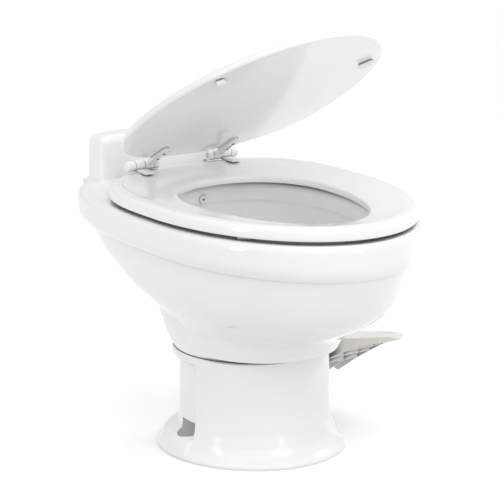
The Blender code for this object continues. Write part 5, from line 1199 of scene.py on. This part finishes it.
def pedal_plan(inset):
    middle = PEDAL_INNER_X + PEDAL_WIDTH * PEDAL_NOSE_SHARE
    points = []
    for across, forward in PEDAL_PLAN_SHARES:
        x = PEDAL_INNER_X + PEDAL_WIDTH * across
        y = PIVOT_Y + PEDAL_LENGTH * forward
        toward_x = 1 if x < middle else -1
        toward_y = 1 if forward < PEDAL_SIDES_END else (PEDAL_SIDE_INSET if forward < 0 else -1)
        slope = min(abs(forward), 1) if forward < 0 else 1
        points.append((x + inset * toward_x, y + inset * toward_y * slope * PEDAL_INSET_GAIN, 0))
    return [points[0][:2]] + [(p.x, p.y) for p in through(points[1:], per_span=5)]


def pedal_side(drop):
    """The pedal's outline from the side, or that of its hollow where a drop is given."""
    under, top = ([(PIVOT_Y + PEDAL_LENGTH * y, PIVOT_Z + PEDAL_LENGTH * z) for y, z in table]
                  for table in (PEDAL_UNDER_SHARES, PEDAL_TOP_SHARES))
    if drop:
        top = [(y, z - drop) for y, z in top]
        low = under[0][1] - OVERRUN
        under = [(under[0][0], low), (under[-1][0] - OVERRUN, low)]
        top = [(under[-1][0], top[0][1] - OVERRUN * PEDAL_ROOF_RISE)] + top[1:]
    crown = through([(y, z, 0) for y, z in top[2:]], per_span=5)
    return under + top[:2] + [(p.x, p.y) for p in crown]


def pedal_dish():
    """The shallow dish for the foot, as a shape to cut away."""
    profile = [(0, 0)] + arc((DISH_RADIUS, DISH_ROUND), DISH_ROUND, start=-90, end=-35, steps=6)
    dish = turned("dish", profile + [(DISH_RADIUS + DISH_RUNOUT, OVERRUN), (0, OVERRUN)])
    (front_y, front_z), (back_y, back_z) = PEDAL_TOP_SHARES[2:4]
    x, y, z = DISH_SHARES
    place = (PEDAL_INNER_X + PEDAL_WIDTH * x, PIVOT_Y + PEDAL_LENGTH * y,
             PIVOT_Z + PEDAL_LENGTH * z - DISH_DEPTH)
    dish.data.transform(Matrix.Translation(place)
                        @ Matrix.Rotation(-math.atan2(front_z - back_z, back_y - front_y), 4, "X")
                        @ Matrix.Diagonal((1, DISH_STRETCH, 1, 1)))
    return dish


def make_pedal():
    low_x, high_x = PEDAL_INNER_X, PEDAL_INNER_X + PEDAL_WIDTH

    def form(name, skin):
        side = prism(name, pedal_side(skin), low_x - OVERRUN, high_x + OVERRUN, "X")
        return combine(side, "INTERSECT", prism("plan", pedal_plan(skin), 0, RIM_HEIGHT, "Z"))

    body = combine(form("foot_pedal", 0), "DIFFERENCE", pedal_dish())
    rounded(body, PEDAL_EDGE, angle=50)
    hollow = form("hollow", PEDAL_SKIN)
    front, back = PIVOT_Y - PEDAL_LENGTH * RIBS_FRONT_SHARE, PIVOT_Y - PEDAL_HUB_RADIUS * RIBS_BACK_SHARE
    tree = rib_tree()
    middle = Vector(((low_x + high_x) / 2, (front + back) / 2, RIM_HEIGHT / 2))
    cross_ribs = grown("cross_ribs", [(middle.x, blend(front, back, bay / PEDAL_BAYS), middle.z)
                                      for bay in range(1, PEDAL_BAYS)], tree,
                       {"Size": (PEDAL_WIDTH + 2 * OVERRUN, PEDAL_RIB, RIM_HEIGHT)})
    long_ribs = grown("long_ribs", [(blend(low_x, high_x, row / PEDAL_ROWS), middle.y, middle.z)
                                    for row in range(1, PEDAL_ROWS)], tree,
                      {"Size": (PEDAL_RIB, back - front + 4 * OVERRUN, RIM_HEIGHT)})
    hub = cross_rod("hub", PEDAL_HUB_RADIUS, low_x - OVERRUN, high_x + OVERRUN, PIVOT_Y, PIVOT_Z)
    combine(body, "DIFFERENCE", combine(hollow, "DIFFERENCE", cross_ribs, long_ribs, hub))
    combine(body, "DIFFERENCE", cross_rod("bore", PEDAL_SHAFT_RADIUS + GAP, low_x - OVERRUN,
                                          high_x - PEDAL_SKIN, PIVOT_Y, PIVOT_Z))
    finish_piece(shade(body, angle=30), "pedal", PEDAL_PLASTIC, "pedal")


# The flush ball, its seal and the water side

def make_flush_ball():
    thin = BALL_RADIUS - BALL_WALL
    angles = even(BALL_CAP_ANGLE, steps=24)
    profile = [(radius * math.sin(angle), radius * math.cos(angle))
               for radius, row in ((BALL_RADIUS, angles), (thin, angles[::-1])) for angle in row]
    cap = shade(turned("ball_cap", profile, (0, 0, BALL_Z), FINE_ROUND))
    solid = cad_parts["flush_ball"]
    kept = bmesh.new()
    kept.from_mesh(solid.data)
    bmesh.ops.remove_doubles(kept, verts=kept.verts, dist=ARMS_SAME_PLACE)
    arms = linked_mesh("ball_arms", kept)
    arms.data.transform(Matrix.Translation(-SHIFT) @ solid.matrix_world)
    combine(arms, "INTERSECT", cylinder("below", BALL_RADIUS * 2, (0, 0, 0),
                                        (0, 0, BALL_Z + thin * BALL_ARM_SHARE)))
    combine(cap, "UNION", arms)
    finish_piece(shade(cap), "ball", BALL_WHITE, "flush_ball")


def make_ball_seal():
    top = OUTLET_Z - 2 * GAP - SEAL_DROP
    low = top - SEAL_HEIGHT
    seal = turned("ball_seal_ring", [
        (SEAL_INNER_RADIUS, low), (SEAL_OUTER_RADIUS, low), (SEAL_OUTER_RADIUS, top),
        (SEAL_LIP_OUTER_RADIUS, top), (SEAL_LIP_INNER_RADIUS, top - SEAL_LIP_DEPTH)], segments=FINE_ROUND)
    finish_piece(shade(seal), "bowl_and_base", BLACK_RUBBER, "ball_seal")


def hose_route():
    start = Vector(HOSE_START)
    end = Vector((0, BREAKER_Y, BREAKER_BOTTOM - GAP))
    straight = Vector((0, 0, HOSE_RADIUS))
    route = [start + straight, start + 4 * straight]
    for height, across, back in HOSE_SHARES:
        route.append(Vector((blend(start.x, end.x, across), blend(start.y, end.y, back),
                             blend(start.z, end.z, height))))
    route += [end - 3 * straight, end - straight]
    return [start] + through(route, per_span=6) + [end]


def make_hose():
    curve = bpy.data.curves.new("supply_hose", "CURVE")
    curve.dimensions = "3D"
    curve.bevel_depth = HOSE_RADIUS
    curve.bevel_resolution = 6
    curve.use_fill_caps = True
    points = hose_route()
    spline = curve.splines.new("POLY")
    spline.points.add(len(points) - 1)
    for target, point in zip(spline.points, points):
        target.co = (*point, 1)
    holder = link(bpy.data.objects.new("hose_curve", curve))
    mesh = evaluated(holder)
    bpy.data.objects.remove(holder, do_unlink=True)
    hose = link(bpy.data.objects.new("supply_hose", mesh))
    finish_piece(shade(hose, angle=50), "bowl_and_base", HOSE_VINYL, "water_hose")


def make_vacuum_breaker():
    axis = (0, BREAKER_Y, 0)
    inner = BREAKER_RADIUS - BREAKER_WALL
    entry = HOSE_RADIUS * HOSE_ENTRY_SHARE
    body = turned("breaker_body", [
        (entry, BREAKER_BOTTOM), (BREAKER_RADIUS - BREAKER_EDGE, BREAKER_BOTTOM),
        (BREAKER_RADIUS, BREAKER_BOTTOM + BREAKER_EDGE), (BREAKER_RADIUS, BREAKER_TOP),
        (inner, BREAKER_TOP), (inner, BREAKER_FLOOR_RIM_Z), (entry, BREAKER_FLOOR_Z)], axis)
    finish_piece(shade(body), "bowl_and_base", HINGE_WHITE, "vacuum_breaker_body")
    low, radius, height = BREAKER_TOP + GAP, BREAKER_CAP_RADIUS, BREAKER_CAP_HEIGHT
    cap = turned("breaker_cap", [
        (0, low), (BREAKER_RADIUS, low), (BREAKER_RADIUS + GAP, low - BREAKER_CAP_SKIRT),
        (radius, low - BREAKER_CAP_SKIRT), (radius, low + height * 0.5)]
        + arc((radius * BREAKER_CAP_FLAT_SHARE, low + height * BREAKER_CAP_WALL_SHARE),
              radius * BREAKER_CAP_ROUND_SHARE, start=10, end=90, steps=8) + [(0, low + height)], axis)
    far = radius - GAP
    places = [(far * math.cos(angle), BREAKER_Y + far * math.sin(angle), low + GRIP_RADIUS)
              for angle in turns(GRIP_COUNT)]
    ridges = grown("cap_ridges", places, grip_tree(), {"Radius": GRIP_RADIUS, "Height": GRIP_HEIGHT})
    whole = joined("breaker_cap", [cap, ridges])
    finish_piece(shade(whole), "bowl_and_base", HINGE_WHITE, "vacuum_breaker_cap")


def make_nozzle():
    high = BREAKER_Y - BREAKER_RADIUS - GAP
    length = high - NOZZLE_TIP_Y
    nozzle = turned("rinse_nozzle_tube", [
        (NOZZLE_BORE, length - NOZZLE_MOUTH_DEPTH), (NOZZLE_MOUTH, length),
        (NOZZLE_RADIUS - NOZZLE_ROUND, length), (NOZZLE_RADIUS, length - NOZZLE_ROUND), (NOZZLE_RADIUS, 0),
        (0, 0), (0, NOZZLE_FLOOR), (NOZZLE_BORE, NOZZLE_FLOOR)], (0, high, NOZZLE_Z), SMALL_ROUND,
        Matrix.Rotation(math.radians(90), 4, "X"))
    finish_piece(shade(nozzle), "bowl_and_base", HINGE_WHITE, "rinse_nozzle")


def make_inlet():
    end_y = INLET_START_Y + INLET_LENGTH
    third = INLET_LENGTH / 3
    tube = turned("inlet_tube", [
        (0, 0), (INLET_RADIUS, 0), (INLET_RADIUS, INLET_LENGTH - INLET_EDGE),
        (INLET_RADIUS - INLET_EDGE, INLET_LENGTH), (INLET_BORE, INLET_LENGTH), (INLET_BORE, third),
        (0, third)], (VALVE_X, INLET_START_Y, INLET_Z), turn=Matrix.Rotation(math.radians(-90), 4, "X"))
    nut_y = end_y - NUT_FROM_END
    nut = cylinder("nut", NUT_RADIUS, (VALVE_X, nut_y, INLET_Z), (VALVE_X, nut_y + NUT_WIDTH, INLET_Z),
                   segments=6)
    combine(tube, "UNION", rounded(nut, NUT_ROUND))
    places = [(VALVE_X, end_y - THREAD_FROM_END + THREAD_PITCH * i, INLET_Z) for i in range(THREAD_COUNT)]
    threads = grown("inlet_threads", places, thread_tree(), {
        "Radius": INLET_RADIUS - GAP, "Rise": THREAD_RISE})
    whole = joined("water_inlet_brass", [tube, threads])
    finish_piece(shade(whole, angle=35), "bowl_and_base", TURNED_BRASS, "water_inlet")


def dress_nodes():
    """Better materials for the frame's own solids that stay as they are."""
    for look, names in (
            (GREY_VALVE, ("valve_body", "water_valve_body")),
            (BLACK_RUBBER, ("outlet_seal", "floor_gasket", "hinge_washer_left", "hinge_washer_right")),
            (BRIGHT_STEEL, ("clamp_band", "clamp_bolt", "pedal_shaft", "return_spring", "water_plunger",
                            "hinge_bolt_left", "hinge_bolt_right", "hinge_pin_left", "hinge_pin_right")),
            (BLACK_ACETAL, ("ball_bush_left", "ball_bush_right", "pedal_bush", "pedal_gear", "ball_pinion",
                            "valve_cam", "vacuum_float")),
            (HINGE_WHITE, ("wing_nut_left", "wing_nut_right"))):
        for name in names:
            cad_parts[name].material_slots[0].material = look


# The camera and the light

def make_camera():
    data = bpy.data.cameras.new("camera")
    data.sensor_width = SENSOR
    data.lens = FOCAL_PIXELS * SENSOR / PICTURE_SIDE
    data.clip_end = FAR_CLIP
    camera = link(bpy.data.objects.new("camera", data))
    columns = (CAMERA_RIGHT, CAMERA_UP, CAMERA_BACK, CAMERA_PLACE)
    camera.matrix_world = Matrix([[column[i] for column in columns] for i in range(3)] + [[0, 0, 0, 1]])
    bpy.context.scene.camera = camera


def add_light(name, kind, azimuth, elevation, distance, aim, power, **settings):
    """A light that faces its aim, turned by degrees from the front and raised by degrees."""
    light = bpy.data.lights.new(name, kind)
    light.energy = power
    for label, value in settings.items():
        setattr(light, label, value)
    obj = link(bpy.data.objects.new(name, light))
    a, e = math.radians(azimuth), math.radians(elevation)
    toward = Vector((math.sin(a) * math.cos(e), -math.cos(a) * math.cos(e), math.sin(e)))
    obj.location = aim + distance * toward
    obj.rotation_euler = (aim - obj.location).to_track_quat("-Z", "Y").to_euler()
    return obj


def make_stage():
    floor = bpy.data.meshes.new("floor")
    corners = [(x * FLOOR_SIDE, y * FLOOR_SIDE, 0) for x, y in ((-1, -1), (1, -1), (1, 1), (-1, 1))]
    floor.from_pydata(corners, [], [(0, 1, 2, 3)])
    obj = link(bpy.data.objects.new("floor", floor))
    paint = bpy.data.materials.new("floor_white")
    paint.use_nodes = True
    fill(paint.node_tree, paint.node_tree.nodes["Principled BSDF"], {
        "Base Color": FLOOR_WHITE, "Emission Color": WHITE, "Emission Strength": FLOOR_GLOW,
        "Roughness": FLOOR_ROUGHNESS, "Specular IOR Level": FLOOR_SPECULAR})
    floor.materials.append(paint)
    obj.visible_diffuse = False
    world = bpy.data.worlds.new("studio")
    bpy.context.scene.world = world
    world.use_nodes = True
    fill(world.node_tree, world.node_tree.nodes["Background"], {"Color": WHITE, "Strength": WORLD_STRENGTH})
    for name, (azimuth, elevation, distance, width, height, power) in SOFT_BOXES.items():
        soft_box = add_light(name, "AREA", azimuth, elevation, distance, LIGHT_AIM, power,
                             shape="RECTANGLE", size=width, size_y=height)
        soft_box.visible_camera = False
    add_light("top_light", "SUN", SUN_ROUND, SUN_UP, SUN_DISTANCE, Vector(), SUN_STRENGTH,
              angle=math.radians(SUN_SPREAD))
    bpy.context.scene.view_settings.view_transform = "Standard"


make_camera()
make_bowl()
make_pedestal()
make_seat()
make_lid()
make_pads()
make_hinges()
make_pedal()
make_flush_ball()
make_ball_seal()
make_hose()
make_vacuum_breaker()
make_nozzle()
make_inlet()
dress_nodes()
make_stage()
